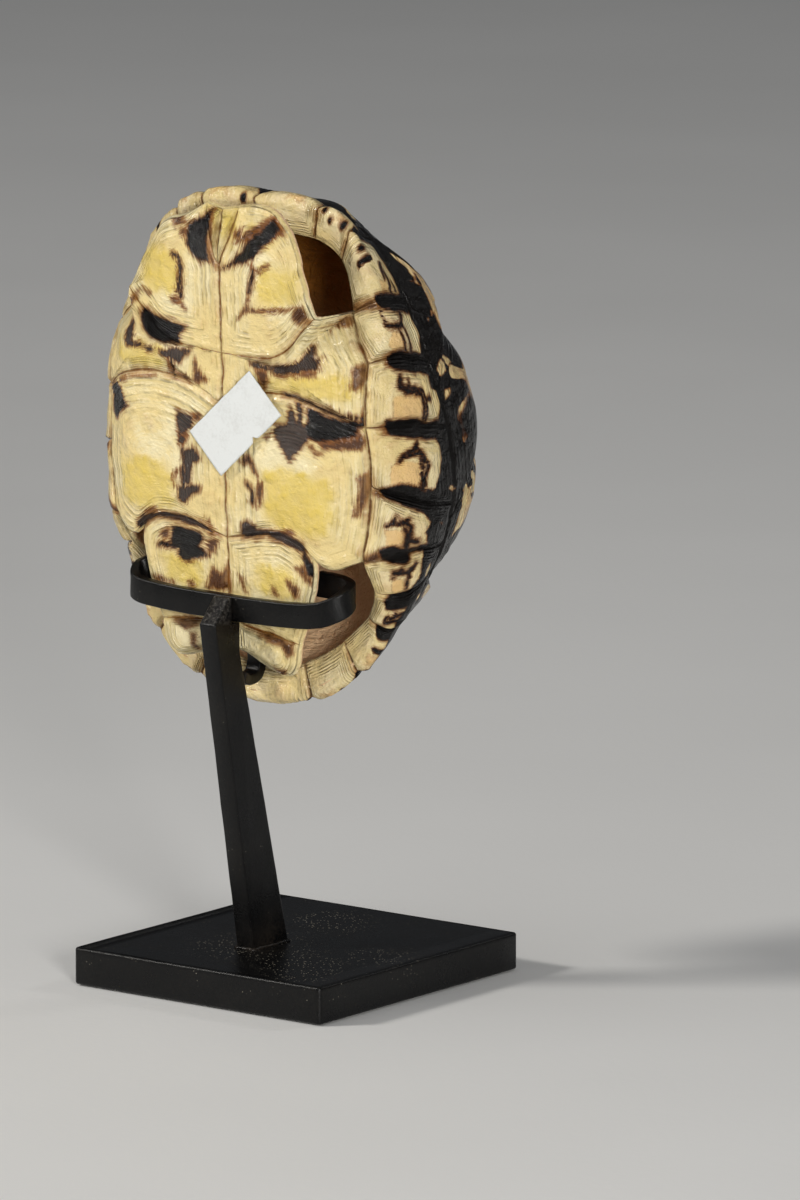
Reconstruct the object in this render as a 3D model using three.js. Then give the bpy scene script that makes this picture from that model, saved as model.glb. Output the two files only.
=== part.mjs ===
// Tortoise shell standing head end up, carried by a small black steel display stand.
// Millimetres. Z is up, the belly plate (plastron) faces -Y and the dome faces +Y.
// The origin is the middle of the base plate's underside.
import * as THREE from "three";

// ---- stand ------------------------------------------------------------------------------
const PLATE_WIDE = 82.2;
const PLATE_DEEP = 86.1;
const PLATE_HIGH = 10;
const PLATE_EDGE = 0.7;
const PLATE_BEVEL = 0.2;
const PLATE_CORNER = 1.2;
const CORNER_STEPS = 4;
const GAP = 0.3;

const POST_WIDE_FOOT = 5.7;
const POST_WIDE_TOP = 5.3;
const POST_FOOT = { x: -3.25, front: -17.8, back: -3 };
const POST_HEAD = { x: 0, front: -38, back: -27.2 };
const POST_KINK_Z = 100.6;
const POST_TOP_Z = 107.2;
const POST_SEAT_Y = -30.6;
const POST_BACK_Z = 92;
const POST_LEDGE_Z = 100.2;
const POST_TIP = 1;

const BAND_HIGH = 6.7;
const BAND_THICK = 2.8;
const BAND_CORNER = 0.5;
const BAND_STEPS = 40;
const BAND_LINE = [
  [-22, -20.4, 111.4],
  [-28.5, -20.2, 110.8],
  [-33.2, -22.8, 109.0],
  [-32.0, -27.4, 106.2],
  [-25, -28.8, 104.9],
  [-6, -28.8, 104.2],
  [7, -28.8, 104.0],
  [22, -28.8, 104.4],
  [31, -28.4, 105.6],
  [35.4, -25.8, 108.2],
  [34.8, -21.6, 110.2],
  [29.4, -19.8, 111.2],
  [23, -20, 111.6],
];

const HOOK_WIDE = 4.6;
const HOOK_THICK = 3;
const HOOK_STEPS = 14;
const HOOK_LINE = [
  [-0.8, -23.7, 84.9],
  [-1.4, -20.5, 83.4],
  [-1.6, -16.0, 84.2],
  [-1.6, -14.6, 88.6],
  [-1.6, -15.2, 92.6],
];

const LABEL_LONG = 28.2;
const LABEL_SHORT = 14.6;
const LABEL_THICK = 0.35;
const LABEL_STAND_OFF = 1.55;
const LABEL_CENTRE = { x: 5.3, v: 10.4 };
const LABEL_TURN = 43.7;
const LABEL_NICK = 1.1;
const LABEL_NICK_AT = 2.2;

// ---- shell: overall form ------------------------------------------------------------------
// Shell coordinates: x sideways, v from tail to head, u from the plastron's plane to the dome.
const HALF_WIDTH = { right: 50, left: 48 };
const WIDEST_V = -9;
const HEAD_REACH = 75.8;
const TAIL_REACH = 60;
const HEAD_ROUND = 2.3;
const TAIL_ROUND = 2.25;
const DOME_HIGH = 74;
const CROWN_FORWARD = 5.1;
const HEAD_SLOPE = 0.37;
const TAIL_SLOPE = 0.6;
const RIM_SIDE_U = 20;
const RIM_HEAD_DROP = 4.5;
const RIM_TAIL_DROP = 10;
const BAND_IN = 0.17;
const BAND_DOWN = 15.2;
const LIP_IN = 9.5;
const LIP_UP = 1.5;
const BAND_END = 1.25;
const BRIDGE_X = 28;
const BRIDGE_MIN_X = 40;
const BRIDGE_U = 4.8;
const FLARE = {
  right: { at: 19, spread: 11, out: 3.2, up: 3.6 },
  left: { at: 27, spread: 17, out: 2.2, up: 2 },
};

const FLARE_START = 0.72;
// Where the band under the rim changes from a lip to the bridge, as cosines of the bearing.
const HEAD_LIP = { from: 0.55, to: 0.95 };
const TAIL_LIP = { from: 0.25, to: 0.75 };
const GULAR_LIFT = { high: 2.4, fromV: 54, toV: 70, fromX: 6, toX: 16 };

const LEAN = 6;
const ROLL = 2.7;
const SHELL_AT = [-0.3, -30, 144];

// ---- shell: relief of one scute ------------------------------------------------------------
const WALL = 2.8;
const SEAM_DEEP = 0.55;
const SEAM_STEP = 6.8;
const SEAM_SLICES = 16;
// A low swelling runs round each scute inside its seam.
const ROLL_HIGH = 0.35;
const ROLL_SHAPE = { from: 0.2, full: 0.7, fade: 0.9 };
const SHELL_HEART = [0, -9, 26];
const RELIEF = {
  belly: { rise: 0.5, areola: 0.3, rings: [0.32, 0.66, 0.93, 1], lined: [1, 3] },
  marginal: { rise: 1.1, areola: 0.35, rings: [0.4, 0.88, 1], lined: [2] },
  costal: { rise: 3.1, areola: 0.2, rings: [0.24, 0.58, 0.93, 1], lined: [1, 3] },
  vertebral: { rise: 3.3, areola: 0.2, rings: [0.26, 0.58, 0.93, 1], lined: [1, 3] },
};

const COLOURS = {
  shell: { color: 0xd8c48e, roughness: 0.38, metalness: 0 },
  steel: { color: 0x17171a, roughness: 0.45, metalness: 0.4 },
  paper: { color: 0xe6e6e4, roughness: 0.85, metalness: 0 },
};

function smooth(from, to, value) {
  const t = Math.min(Math.max((value - from) / (to - from), 0), 1);
  return t * t * (3 - 2 * t);
}

function radians(degrees) {
  return (degrees * Math.PI) / 180;
}

function material(name, key) {
  const made = new THREE.MeshStandardMaterial(COLOURS[key]);
  made.name = name;
  return made;
}

// ---- shell: base surface ---------------------------------------------------------------------
// A dome point has a bearing (degrees, 0 at the head, 90 on the right) and a reach: 0 at the
// crown, 1 at the rim, BAND_END at the free edge of the band folded under the rim.

// The front rim turns out beside the head; the right side more sharply than the left.
function flareAt(bearing) {
  const { at, spread, out, up } = bearing > 0 ? FLARE.right : FLARE.left;
  const away = (Math.abs(bearing) - at) / spread;
  const share = Math.exp(-away * away);
  return { out: out * share, up: up * share };
}

// The left flank is a little narrower than the right.
function halfWidth(side) {
  return side < 0 ? HALF_WIDTH.left : HALF_WIDTH.right;
}

function planRadius(bearing) {
  const across = Math.abs(Math.sin(radians(bearing)));
  const along = Math.cos(radians(bearing));
  const length = along > 0 ? HEAD_REACH : TAIL_REACH;
  const power = along > 0 ? HEAD_ROUND : TAIL_ROUND;
  const half = halfWidth(bearing);
  const sum = (across / half) ** power + (Math.abs(along) / length) ** power;
  return sum ** (-1 / power);
}

function rimHeight(bearing) {
  const along = Math.cos(radians(bearing));
  const head = RIM_HEAD_DROP * smooth(0.3, 1, along);
  const tail = RIM_TAIL_DROP * smooth(0.1, 1, -along);
  return RIM_SIDE_U - head - tail;
}

function domePoint(bearing, reach) {
  const along = Math.cos(radians(bearing));
  const flare = flareAt(bearing);
  const grown = smooth(FLARE_START, 1, reach);
  const radius = planRadius(bearing) + flare.out * grown;
  const rim = rimHeight(bearing) + flare.up * grown;
  const turn = (Math.min(reach, 1) * Math.PI) / 2;
  const power = 1 + HEAD_SLOPE * smooth(0, 1, along) + TAIL_SLOPE * smooth(0, 1, -along);
  let out = radius * Math.sin(turn);
  let up = rim + (DOME_HIGH - rim) * Math.cos(turn) ** power;
  if (reach > 1) {
    const fold = (reach - 1) / (BAND_END - 1);
    const { from, to } = along > 0 ? HEAD_LIP : TAIL_LIP;
    const lip = smooth(from, to, Math.abs(along));
    const quarter = (Math.min(fold, 1) * Math.PI) / 2;
    const bridgeOut = radius * (1 - BAND_IN * fold ** 1.5);
    const bridgeUp = rim - BAND_DOWN * Math.sin(quarter);
    out = (1 - lip) * bridgeOut + lip * (radius - LIP_IN * fold);
    up = (1 - lip) * bridgeUp + lip * (rim + LIP_UP * fold);
  }
  const x = out * Math.sin(radians(bearing));
  const forward = reach < 1 ? CROWN_FORWARD * Math.cos(turn) : 0;
  return [x, WIDEST_V + forward + out * along, up];
}

function bridgeLineX(v, side) {
  const along = v - WIDEST_V;
  const length = along > 0 ? HEAD_REACH : TAIL_REACH;
  const power = along > 0 ? HEAD_ROUND : TAIL_ROUND;
  const share = Math.min(Math.abs(along) / (length * (1 - BAND_IN)), 1) ** power;
  const x = halfWidth(side) * (1 - BAND_IN) * (1 - share) ** (1 / power);
  return Math.max(x, BRIDGE_MIN_X);
}

function bellyPoint(x, v) {
  const share = Math.max(Math.abs(x) - BRIDGE_X, 0) / (bridgeLineX(v, x) - BRIDGE_X);
  const { high, fromV, toV, fromX, toX } = GULAR_LIFT;
  const lift = high * smooth(fromV, toV, v) * (1 - smooth(fromX, toX, Math.abs(x)));
  return [x, v, BRIDGE_U * share ** 2 + lift];
}

// Flat charts in which a scute's growth rings are laid out.
const CHARTS = {
  dome: {
    toFlat: (point) => [
      point[1] * Math.sin(radians(point[0])),
      point[1] * Math.cos(radians(point[0])),
    ],
    toSpace: (flat) => {
      const bearing = (Math.atan2(flat[0], flat[1]) * 180) / Math.PI;
      return domePoint(bearing, Math.hypot(flat[0], flat[1]));
    },
  },
  belly: {
    toFlat: (point) => point,
    toSpace: (flat) => bellyPoint(flat[0], flat[1]),
  },
};

// Bearing and reach of the dome point that lies over plan position x, v.
function domeOver(x, v) {
  const bearing = (Math.atan2(x, v - WIDEST_V) * 180) / Math.PI;
  const share = Math.min(Math.hypot(x, v - WIDEST_V) / planRadius(bearing), 1);
  return [bearing, (Math.asin(share) * 2) / Math.PI];
}

// ---- shell: seams between scutes ---------------------------------------------------------------
// Each marginal seam's bearing where it meets the costals, crosses the rim and ends at the free
// edge or the bridge, and the reach at which it ends.
const MARGINAL_SEAMS = [
  { top: 0, rim: 0, end: 0, reach: 1.25 },
  { top: 14, rim: 14, end: 14, reach: 1.25 },
  { top: 22, rim: 22, end: 22, reach: 1.25 },
  { top: 38, rim: 36, end: 33, reach: 1.23 },
  { top: 53, rim: 49, end: 47, reach: 1.13 },
  { top: 72, rim: 67, end: 62.5, reach: 1.19 },
  { top: 97, rim: 91, end: 81.5, reach: 1.2 },
  { top: 109, rim: 104.5, end: 108.5, reach: 1.23 },
  { top: 116, rim: 118, end: 120, reach: 1.18 },
  { top: 127, rim: 130, end: 132, reach: 1.2 },
  { top: 145, rim: 145, end: 145, reach: 1.25 },
  { top: 162, rim: 162, end: 162, reach: 1.25 },
];
const AXILLA = 3;
const BRIDGE_MIDDLE = 5;
const GROIN = 7;
const LAST = 11;
const COSTAL_SEAMS = [17, 61, 102, 121, 152];

// Half widths of the vertebral row: at each cross seam, and where the costal seams meet it.
const VERTEBRAL_CORNERS = [[13, 38], [14, 10], [13, -18], [10, -42]];
const VERTEBRAL_ELBOWS = [[20, 24], [20.5, -4], [17, -31]];

// Reach of the seam between the marginals and the scutes above them.
const MARGINAL_TOP = { side: 0.82, headDrop: 0.09, tailDrop: 0.07 };

function marginalTop(bearing) {
  const along = Math.cos(radians(bearing));
  const head = MARGINAL_TOP.headDrop * smooth(0.5, 1, along);
  const tail = MARGINAL_TOP.tailDrop * smooth(0.4, 1, -along);
  return MARGINAL_TOP.side - head - tail;
}

// A marginal scute's growth centre: how far along the rim, and its reach at the ends and sides.
const MARGINAL_HUB = { along: 0.66, ends: 0.98, sides: 1.09 };

const MIDLINE_V = [52.2, 28.2, 14.6, -21.8, -43.6];
const GULAR_FRONT_V = 66.4;
const NOTCH_V = -51.6;
const CROSS_BOW = 1.5;
const BELLY_SEAMS = {
  gularSide: [[2.9, 59.5]],
  humeralPectoral: [[7, 28.3], [14.5, 28.4], [20.4, 31], [25, 35.8], [28.4, 39.4]],
  pectoralAbdominal: [[6.7, 18], [15.6, 19.9], [21.5, 20.4], [31, 19], [37, 16.4]],
  abdominalFemoral: [[7, -20.2], [14.4, -18.4], [20.5, -18.6], [25.6, -20.8]],
  femoralAnal: [[6, -45.2], [11.3, -46], [17, -46.8]],
};
const GULAR_TIP = [5.2, 67.6];
const HEAD_LOBE = {
  right: [[16.5, 69.8], [20.8, 67], [23.4, 62.2], [25.6, 57.2], [26.5, 50], [28.2, 45.4]],
  left: [[12.2, 63], [16.8, 62.4], [20, 58.6], [23.4, 53.8], [26.4, 48.2], [28, 43.6]],
};
const LOBE_CORNER = [30.6, 41.6];
const FEMORAL_CORNER = [27.6, -22.8];
const FEMORAL_TIP = [22.4, -47.6];
const GROIN_EDGE = [[30, -24.8], [33.4, -25.8], [37.4, -24.4]];
const FEMORAL_EDGE = [[28.2, -27], [27, -33], [25, -40.4]];
const ANAL_EDGE = [[21.6, -53], [19.6, -57], [15, -56.6], [10.8, -54.4], [6, -52.6]];

function hubReach(bearing) {
  const { ends, sides } = MARGINAL_HUB;
  return ends + (sides - ends) * Math.sin(radians(bearing)) ** 4;
}

const nodes = new Map();
const seams = new Map();
const scutes = [];

function subtract(a, b) {
  return a.map((value, axis) => value - b[axis]);
}

function addNode(name, chart, point) {
  const flat = CHARTS[chart].toFlat(point);
  nodes.set(name, { chart, point, space: CHARTS[chart].toSpace(flat) });
}

function nodeIn(name, chart) {
  const node = nodes.get(name);
  return node.chart === chart ? node.point : [node.space[0], node.space[1]];
}

// Bearings along one seam never jump by a whole turn.
function unwound(line) {
  let last = line[0][0];
  return line.map(([bearing, reach]) => {
    last = bearing - 360 * Math.round((bearing - last) / 360);
    return [last, reach];
  });
}

// Cuts a line of chart points into equal steps; the ends keep their nodes' exact places.
function addSeam(name, chart, from, to, via = []) {
  const toSpace = (point) => CHARTS[chart].toSpace(CHARTS[chart].toFlat(point));
  const corners = [nodeIn(from, chart), ...via, nodeIn(to, chart)];
  const line = chart === "dome" ? unwound(corners) : corners;
  const dense = [line[0]];
  const along = [0];
  for (let i = 0; i + 1 < line.length; i += 1) {
    for (let k = 1; k <= SEAM_SLICES; k += 1) {
      const t = k / SEAM_SLICES;
      const last = dense[dense.length - 1];
      const next = line[i].map((value, axis) => value + (line[i + 1][axis] - value) * t);
      along.push(along[along.length - 1] + Math.hypot(...subtract(toSpace(next), toSpace(last))));
      dense.push(next);
    }
  }
  const total = along[along.length - 1];
  const count = Math.max(Math.round(total / SEAM_STEP), 1);
  const missFrom = subtract(nodes.get(from).space, toSpace(line[0]));
  const missTo = subtract(nodes.get(to).space, toSpace(line[line.length - 1]));
  const samples = [];
  for (let i = 0; i <= count; i += 1) {
    const t = i / count;
    const k = Math.max(along.findIndex((length) => length >= total * t - 1e-9), 1);
    const mix = (total * t - along[k - 1]) / (along[k] - along[k - 1]);
    const point = dense[k - 1].map((value, axis) => value + (dense[k][axis] - value) * mix);
    const space = toSpace(point).map(
      (value, axis) => value + missFrom[axis] * (1 - t) ** 3 + missTo[axis] * t ** 3,
    );
    let key = `${name}/${i}`;
    if (i === 0) {
      key = from;
    } else if (i === count) {
      key = to;
    }
    samples.push({ key, flat: CHARTS[chart].toFlat(point), space });
  }
  seams.set(name, { samples, users: 0 });
}

function addScute(kind, chart, centre, borders) {
  scutes.push({ kind, chart, centre, borders });
  borders.forEach((border) => {
    seams.get(border).users += 1;
  });
}

function addDomeHalf(tag, side) {
  const tops = MARGINAL_SEAMS.map((seam) => seam.top);
  const stops = [...tops, ...COSTAL_SEAMS].sort((a, b) => a - b);
  const name = (kind, number) => (number === 0 ? `${kind}0` : `${tag}${kind}${number}`);
  const above = (from, to) =>
    stops.filter((stop) => stop >= from && stop < to).map((stop) => `${tag}above${stop}`);
  for (const stop of stops.slice(1)) {
    addNode(name("top", stop), "dome", [side * stop, marginalTop(stop)]);
  }
  MARGINAL_SEAMS.slice(1).forEach(({ end, reach }, i) => {
    addNode(name("end", i + 1), "dome", [side * end, reach]);
  });
  for (let i = 0; i + 1 < stops.length; i += 1) {
    addSeam(`${tag}above${stops[i]}`, "dome", name("top", stops[i]), name("top", stops[i + 1]));
  }
  for (let i = 0; i < LAST; i += 1) {
    addSeam(`${tag}below${i}`, "dome", name("end", i), name("end", i + 1));
  }
  MARGINAL_SEAMS.slice(1).forEach(({ top, rim }, i) => {
    const over = [side * rim, 1];
    addSeam(name("fold", i + 1), "dome", name("top", top), name("end", i + 1), [over]);
  });
  VERTEBRAL_CORNERS.forEach(([x, v], i) => {
    addNode(`${tag}corner${i}`, "dome", domeOver(x * side, v));
  });
  VERTEBRAL_ELBOWS.forEach(([x, v], i) => {
    addNode(`${tag}elbow${i}`, "dome", domeOver(x * side, v));
  });
  addSeam(`${tag}flank0`, "dome", name("top", COSTAL_SEAMS[0]), `${tag}corner0`);
  for (let i = 0; i < VERTEBRAL_ELBOWS.length; i += 1) {
    const elbow = `${tag}elbow${i}`;
    addSeam(`${tag}fore${i + 1}`, "dome", `${tag}corner${i}`, elbow);
    addSeam(`${tag}aft${i + 1}`, "dome", elbow, `${tag}corner${i + 1}`);
    addSeam(`${tag}rib${i + 1}`, "dome", name("top", COSTAL_SEAMS[i + 1]), elbow);
  }
  addSeam(`${tag}flank4`, "dome", `${tag}corner3`, name("top", COSTAL_SEAMS[4]));

  for (let i = 0; i < LAST; i += 1) {
    const [from, to] = [MARGINAL_SEAMS[i], MARGINAL_SEAMS[i + 1]];
    const middle = from.rim + (to.rim - from.rim) * MARGINAL_HUB.along;
    addScute("marginal", "dome", [side * middle, hubReach(middle)], [
      ...above(from.top, to.top),
      `${tag}below${i}`,
      name("fold", i),
      name("fold", i + 1),
    ]);
  }
  const costals = [
    { centre: [33, 33], borders: ["flank0", "fore1", "rib1"] },
    { centre: [35, 8], borders: ["rib1", "aft1", "fore2", "rib2"] },
    { centre: [34, -20], borders: ["rib2", "aft2", "fore3", "rib3"] },
    { centre: [27, -44], borders: ["rib3", "aft3", "flank4"] },
  ];
  costals.forEach(({ centre, borders }, i) => {
    addScute("costal", "dome", domeOver(centre[0] * side, centre[1]), [
      ...above(COSTAL_SEAMS[i], COSTAL_SEAMS[i + 1]),
      ...borders.map((border) => `${tag}${border}`),
    ]);
  });
}

function addBellyHalf(tag, side) {
  const flip = (list) => list.map(([x, v]) => [x * side, v]);
  const lobe = side > 0 ? HEAD_LOBE.right : HEAD_LOBE.left;
  const line = (name, from, to, via = []) => {
    addSeam(`${tag}${name}`, "belly", from, to, flip(via));
  };
  addNode(`${tag}lobe`, "belly", [LOBE_CORNER[0] * side, LOBE_CORNER[1]]);
  addNode(`${tag}gular`, "belly", [GULAR_TIP[0] * side, GULAR_TIP[1]]);
  addNode(`${tag}femoral`, "belly", [FEMORAL_CORNER[0] * side, FEMORAL_CORNER[1]]);
  addNode(`${tag}tip`, "belly", [FEMORAL_TIP[0] * side, FEMORAL_TIP[1]]);
  line("gularSide", "mid0", `${tag}gular`, BELLY_SEAMS.gularSide);
  line("pectoralTop", "mid1", `${tag}lobe`, BELLY_SEAMS.humeralPectoral);
  line("abdominalTop", "mid2", `${tag}end${BRIDGE_MIDDLE}`, BELLY_SEAMS.pectoralAbdominal);
  line("femoralTop", "mid3", `${tag}femoral`, BELLY_SEAMS.abdominalFemoral);
  line("analTop", "mid4", `${tag}tip`, BELLY_SEAMS.femoralAnal);
  line("gularEdge", "gularFront", `${tag}gular`);
  line("humeralEdge", `${tag}gular`, `${tag}lobe`, lobe);
  line("axilla", `${tag}lobe`, `${tag}end${AXILLA}`);
  line("groin", `${tag}femoral`, `${tag}end${GROIN}`, GROIN_EDGE);
  line("femoralEdge", `${tag}femoral`, `${tag}tip`, FEMORAL_EDGE);
  line("analEdge", `${tag}tip`, "notch", ANAL_EDGE);

  const plates = [
    { centre: [2.2, 63], borders: ["gularSide", "gularEdge"], middle: "midGular" },
    {
      centre: [15.5, 45],
      borders: ["gularSide", "humeralEdge", "pectoralTop"],
      middle: "midHumeral",
    },
    {
      centre: [29, 26.5],
      borders: ["pectoralTop", "axilla", "below3", "below4", "abdominalTop"],
      middle: "midPectoral",
    },
    {
      centre: [25, -6],
      borders: ["abdominalTop", "below5", "below6", "groin", "femoralTop"],
      middle: "midAbdominal",
    },
    {
      centre: [13, -33],
      borders: ["femoralTop", "femoralEdge", "analTop"],
      middle: "midFemoral",
    },
    { centre: [12, -50.6], borders: ["analTop", "analEdge"], middle: "midAnal" },
  ];
  for (const { centre, borders, middle } of plates) {
    const names = borders.map((border) => `${tag}${border}`);
    addScute("belly", "belly", [centre[0] * side, centre[1]], [...names, middle]);
  }
}

function addMidline() {
  addNode("top0", "dome", [0, marginalTop(0)]);
  addNode("end0", "dome", [0, BAND_END]);
  addSeam("fold0", "dome", "top0", "end0", [[0, 1]]);
  MIDLINE_V.forEach((v, i) => addNode(`mid${i}`, "belly", [0, v]));
  addNode("gularFront", "belly", [0, GULAR_FRONT_V]);
  addNode("notch", "belly", [0, NOTCH_V]);
  addSeam("midGular", "belly", "mid0", "gularFront");
  addSeam("midHumeral", "belly", "mid0", "mid1");
  addSeam("midPectoral", "belly", "mid1", "mid2");
  addSeam("midAbdominal", "belly", "mid2", "mid3");
  addSeam("midFemoral", "belly", "mid3", "mid4");
  addSeam("midAnal", "belly", "mid4", "notch");
}

function addRidgeRow() {
  const both = (names) => names.flatMap((name) => [`R${name}`, `L${name}`]);
  VERTEBRAL_CORNERS.forEach(([, v], i) => {
    addSeam(`cross${i}`, "dome", `Lcorner${i}`, `Rcorner${i}`, [domeOver(0, v + CROSS_BOW)]);
  });
  const tailTop = [180, marginalTop(180)];
  const tailEnd = [180, BAND_END];
  const { top } = MARGINAL_SEAMS[LAST];
  addSeam("tailAbove", "dome", `Rtop${top}`, `Ltop${top}`, [tailTop]);
  addSeam("tailBelow", "dome", `Rend${LAST}`, `Lend${LAST}`, [tailEnd]);
  addScute("vertebral", "dome", domeOver(0, 52), [
    ...both(["above0", "above14", "flank0"]),
    "cross0",
  ]);
  VERTEBRAL_ELBOWS.forEach(([, v], i) => {
    const sides = both([`fore${i + 1}`, `aft${i + 1}`]);
    addScute("vertebral", "dome", domeOver(0, v), [`cross${i}`, ...sides, `cross${i + 1}`]);
  });
  addScute("vertebral", "dome", domeOver(0, -54), [
    "cross3",
    ...both(["flank4", "above152"]),
    "tailAbove",
  ]);
  addScute("marginal", "dome", [180, hubReach(180)], [
    "tailAbove",
    "tailBelow",
    ...both([`fold${LAST}`]),
  ]);
}

// Chains a scute's seams end to end into one closed run. Each entry knows whether the stretch
// that starts there is a free edge of the shell.
function loopOf(borders) {
  const left = borders.map((name) => seams.get(name));
  const loop = [];
  let seam = left.shift();
  let run = seam.samples;
  const start = run[0].key;
  for (;;) {
    const free = seam.users === 1;
    loop.push(...run.slice(0, -1).map((sample) => ({ ...sample, free })));
    const end = run[run.length - 1].key;
    if (end === start) {
      return loop;
    }
    const next = left.findIndex(
      ({ samples }) => samples[0].key === end || samples[samples.length - 1].key === end,
    );
    seam = left.splice(next, 1)[0];
    run = seam.samples[0].key === end ? seam.samples : [...seam.samples].reverse();
  }
}

// ---- shell: mesh -------------------------------------------------------------------------------
function reliefAt(kind, rho) {
  const { rise, areola } = RELIEF[kind];
  const mound = rise * (1 - smooth(areola, 1, rho));
  const { from, full, fade } = ROLL_SHAPE;
  const roll = ROLL_HIGH * smooth(from, full, rho) * (1 - smooth(fade, 1, rho));
  return mound + roll;
}

class Sheet {
  constructor() {
    this.points = [];
    this.faces = [];
    this.known = new Map();
  }

  vertex(key, space, relief) {
    if (!this.known.has(key)) {
      this.known.set(key, this.points.length);
      this.points.push({ space, relief, normal: [0, 0, 0] });
    }
    const index = this.known.get(key);
    this.points[index].relief = Math.min(this.points[index].relief, relief);
    return index;
  }

  face(a, b, c, flip) {
    this.faces.push(flip ? [a, c, b] : [a, b, c]);
  }

  findNormals() {
    for (const face of this.faces) {
      const [a, b, c] = face.map((index) => this.points[index].space);
      const cross = crossProduct(subtract(b, a), subtract(c, a));
      for (const index of face) {
        this.points[index].normal = this.points[index].normal.map((v, axis) => v + cross[axis]);
      }
    }
    for (const point of this.points) {
      const length = Math.hypot(...point.normal);
      point.normal = point.normal.map((value) => value / length);
    }
  }
}

function dot(a, b) {
  return a[0] * b[0] + a[1] * b[1] + a[2] * b[2];
}

function crossProduct(a, b) {
  return [a[1] * b[2] - a[2] * b[1], a[2] * b[0] - a[0] * b[2], a[0] * b[1] - a[1] * b[0]];
}

function stitch(sheet, inner, outer, flip) {
  for (let j = 0; j < outer.length; j += 1) {
    const k = (j + 1) % outer.length;
    if (inner.length === 1) {
      sheet.face(inner[0], outer[j], outer[k], flip);
    } else {
      sheet.face(inner[j], outer[j], outer[k], flip);
      sheet.face(inner[j], outer[k], inner[k], flip);
    }
  }
}

function buildScute(scute, number, sheet, lining, lips) {
  const { toFlat, toSpace } = CHARTS[scute.chart];
  const loop = loopOf(scute.borders);
  const centre = toFlat(scute.centre);
  const middle = toSpace(centre);
  const flats = loop.map(({ flat, space }) => (scute.chart === "belly" ? space.slice(0, 2) : flat));
  const misses = loop.map(({ space }, j) => subtract(space, toSpace(flats[j])));
  const rings = RELIEF[scute.kind].rings.map((rho, r) =>
    loop.map((sample, j) => {
      if (rho === 1) {
        return sheet.vertex(sample.key, sample.space, sample.free ? 0 : -SEAM_DEEP);
      }
      const flat = centre.map((value, axis) => value + (flats[j][axis] - value) * rho);
      const space = toSpace(flat).map((value, axis) => value + misses[j][axis] * rho ** 3);
      return sheet.vertex(`${number}:${r}:${j}`, space, reliefAt(scute.kind, rho));
    }),
  );
  const hub = sheet.vertex(`${number}:hub`, middle, reliefAt(scute.kind, 0));

  const outward = subtract(middle, SHELL_HEART);
  const facing = loop.reduce((sum, { space }, j) => {
    const next = loop[(j + 1) % loop.length].space;
    return sum + dot(crossProduct(subtract(space, middle), subtract(next, middle)), outward);
  }, 0);
  const flip = facing < 0;

  [[hub], ...rings].slice(0, -1).forEach((ring, r) => stitch(sheet, ring, rings[r], flip));
  const lined = RELIEF[scute.kind].lined.map((r) => rings[r]);
  [[hub], ...lined].slice(0, -1).forEach((ring, r) => stitch(lining, ring, lined[r], !flip));

  const rim = rings[rings.length - 1];
  loop.forEach((sample, j) => {
    if (sample.free) {
      const next = rim[(j + 1) % rim.length];
      lips.push(flip ? [next, rim[j]] : [rim[j], next]);
    }
  });
}

function place(point) {
  const lean = radians(LEAN);
  const roll = radians(ROLL);
  const along = [0, -Math.sin(lean), Math.cos(lean)];
  const back = [0, Math.cos(lean), Math.sin(lean)];
  const across = [1, 0, 0];
  return SHELL_AT.map((start, axis) => {
    const x = across[axis] * Math.cos(roll) - along[axis] * Math.sin(roll);
    const v = along[axis] * Math.cos(roll) + across[axis] * Math.sin(roll);
    return start + point[0] * x + point[1] * v + point[2] * back[axis];
  });
}

function buildShell() {
  addMidline();
  addDomeHalf("R", 1);
  addDomeHalf("L", -1);
  addRidgeRow();
  addBellyHalf("R", 1);
  addBellyHalf("L", -1);
  const sheet = new Sheet();
  const lining = new Sheet();
  const lips = [];
  scutes.forEach((scute, number) => buildScute(scute, number, sheet, lining, lips));
  sheet.findNormals();

  const moved = (point, distance) =>
    place(point.space.map((value, axis) => value + point.normal[axis] * distance));
  const outside = sheet.points.map((point) => moved(point, point.relief));
  const inside = sheet.points.map((point) => moved(point, -WALL));
  const faces = [...sheet.faces];
  const offset = outside.length;
  for (const face of lining.faces) {
    faces.push(face.map((index) => index + offset));
  }
  for (const [a, b] of lips) {
    faces.push([b, a, a + offset]);
    faces.push([b, a + offset, b + offset]);
  }
  // Shell coordinates are left-handed in the part's frame, so the winding turns over.
  return meshOf([...outside, ...inside], faces.map((face) => [...face].reverse()));
}

// A mesh from points and faces; points no face uses are dropped.
function meshOf(points, faces) {
  const used = [...new Set(faces.flat())];
  const renumber = new Map(used.map((index, order) => [index, order]));
  const geometry = new THREE.BufferGeometry();
  const flat = used.flatMap((index) => points[index]);
  geometry.setAttribute("position", new THREE.Float32BufferAttribute(flat, 3));
  geometry.setIndex(faces.flat().map((index) => renumber.get(index)));
  geometry.computeVertexNormals();
  return geometry;
}

// ---- stand -------------------------------------------------------------------------------------
// Skins a row of closed sections and caps both ends.
function loft(sections) {
  const count = sections[0].length;
  const points = sections.flat();
  const faces = [];
  for (let s = 0; s + 1 < sections.length; s += 1) {
    for (let j = 0; j < count; j += 1) {
      const a = s * count + j;
      const b = s * count + ((j + 1) % count);
      faces.push([a, b, b + count]);
      faces.push([a, b + count, a + count]);
    }
  }
  const last = (sections.length - 1) * count;
  for (let j = 1; j + 1 < count; j += 1) {
    faces.push([0, j + 1, j]);
    faces.push([last, last + j, last + j + 1]);
  }
  return meshOf(points, faces);
}

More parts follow.
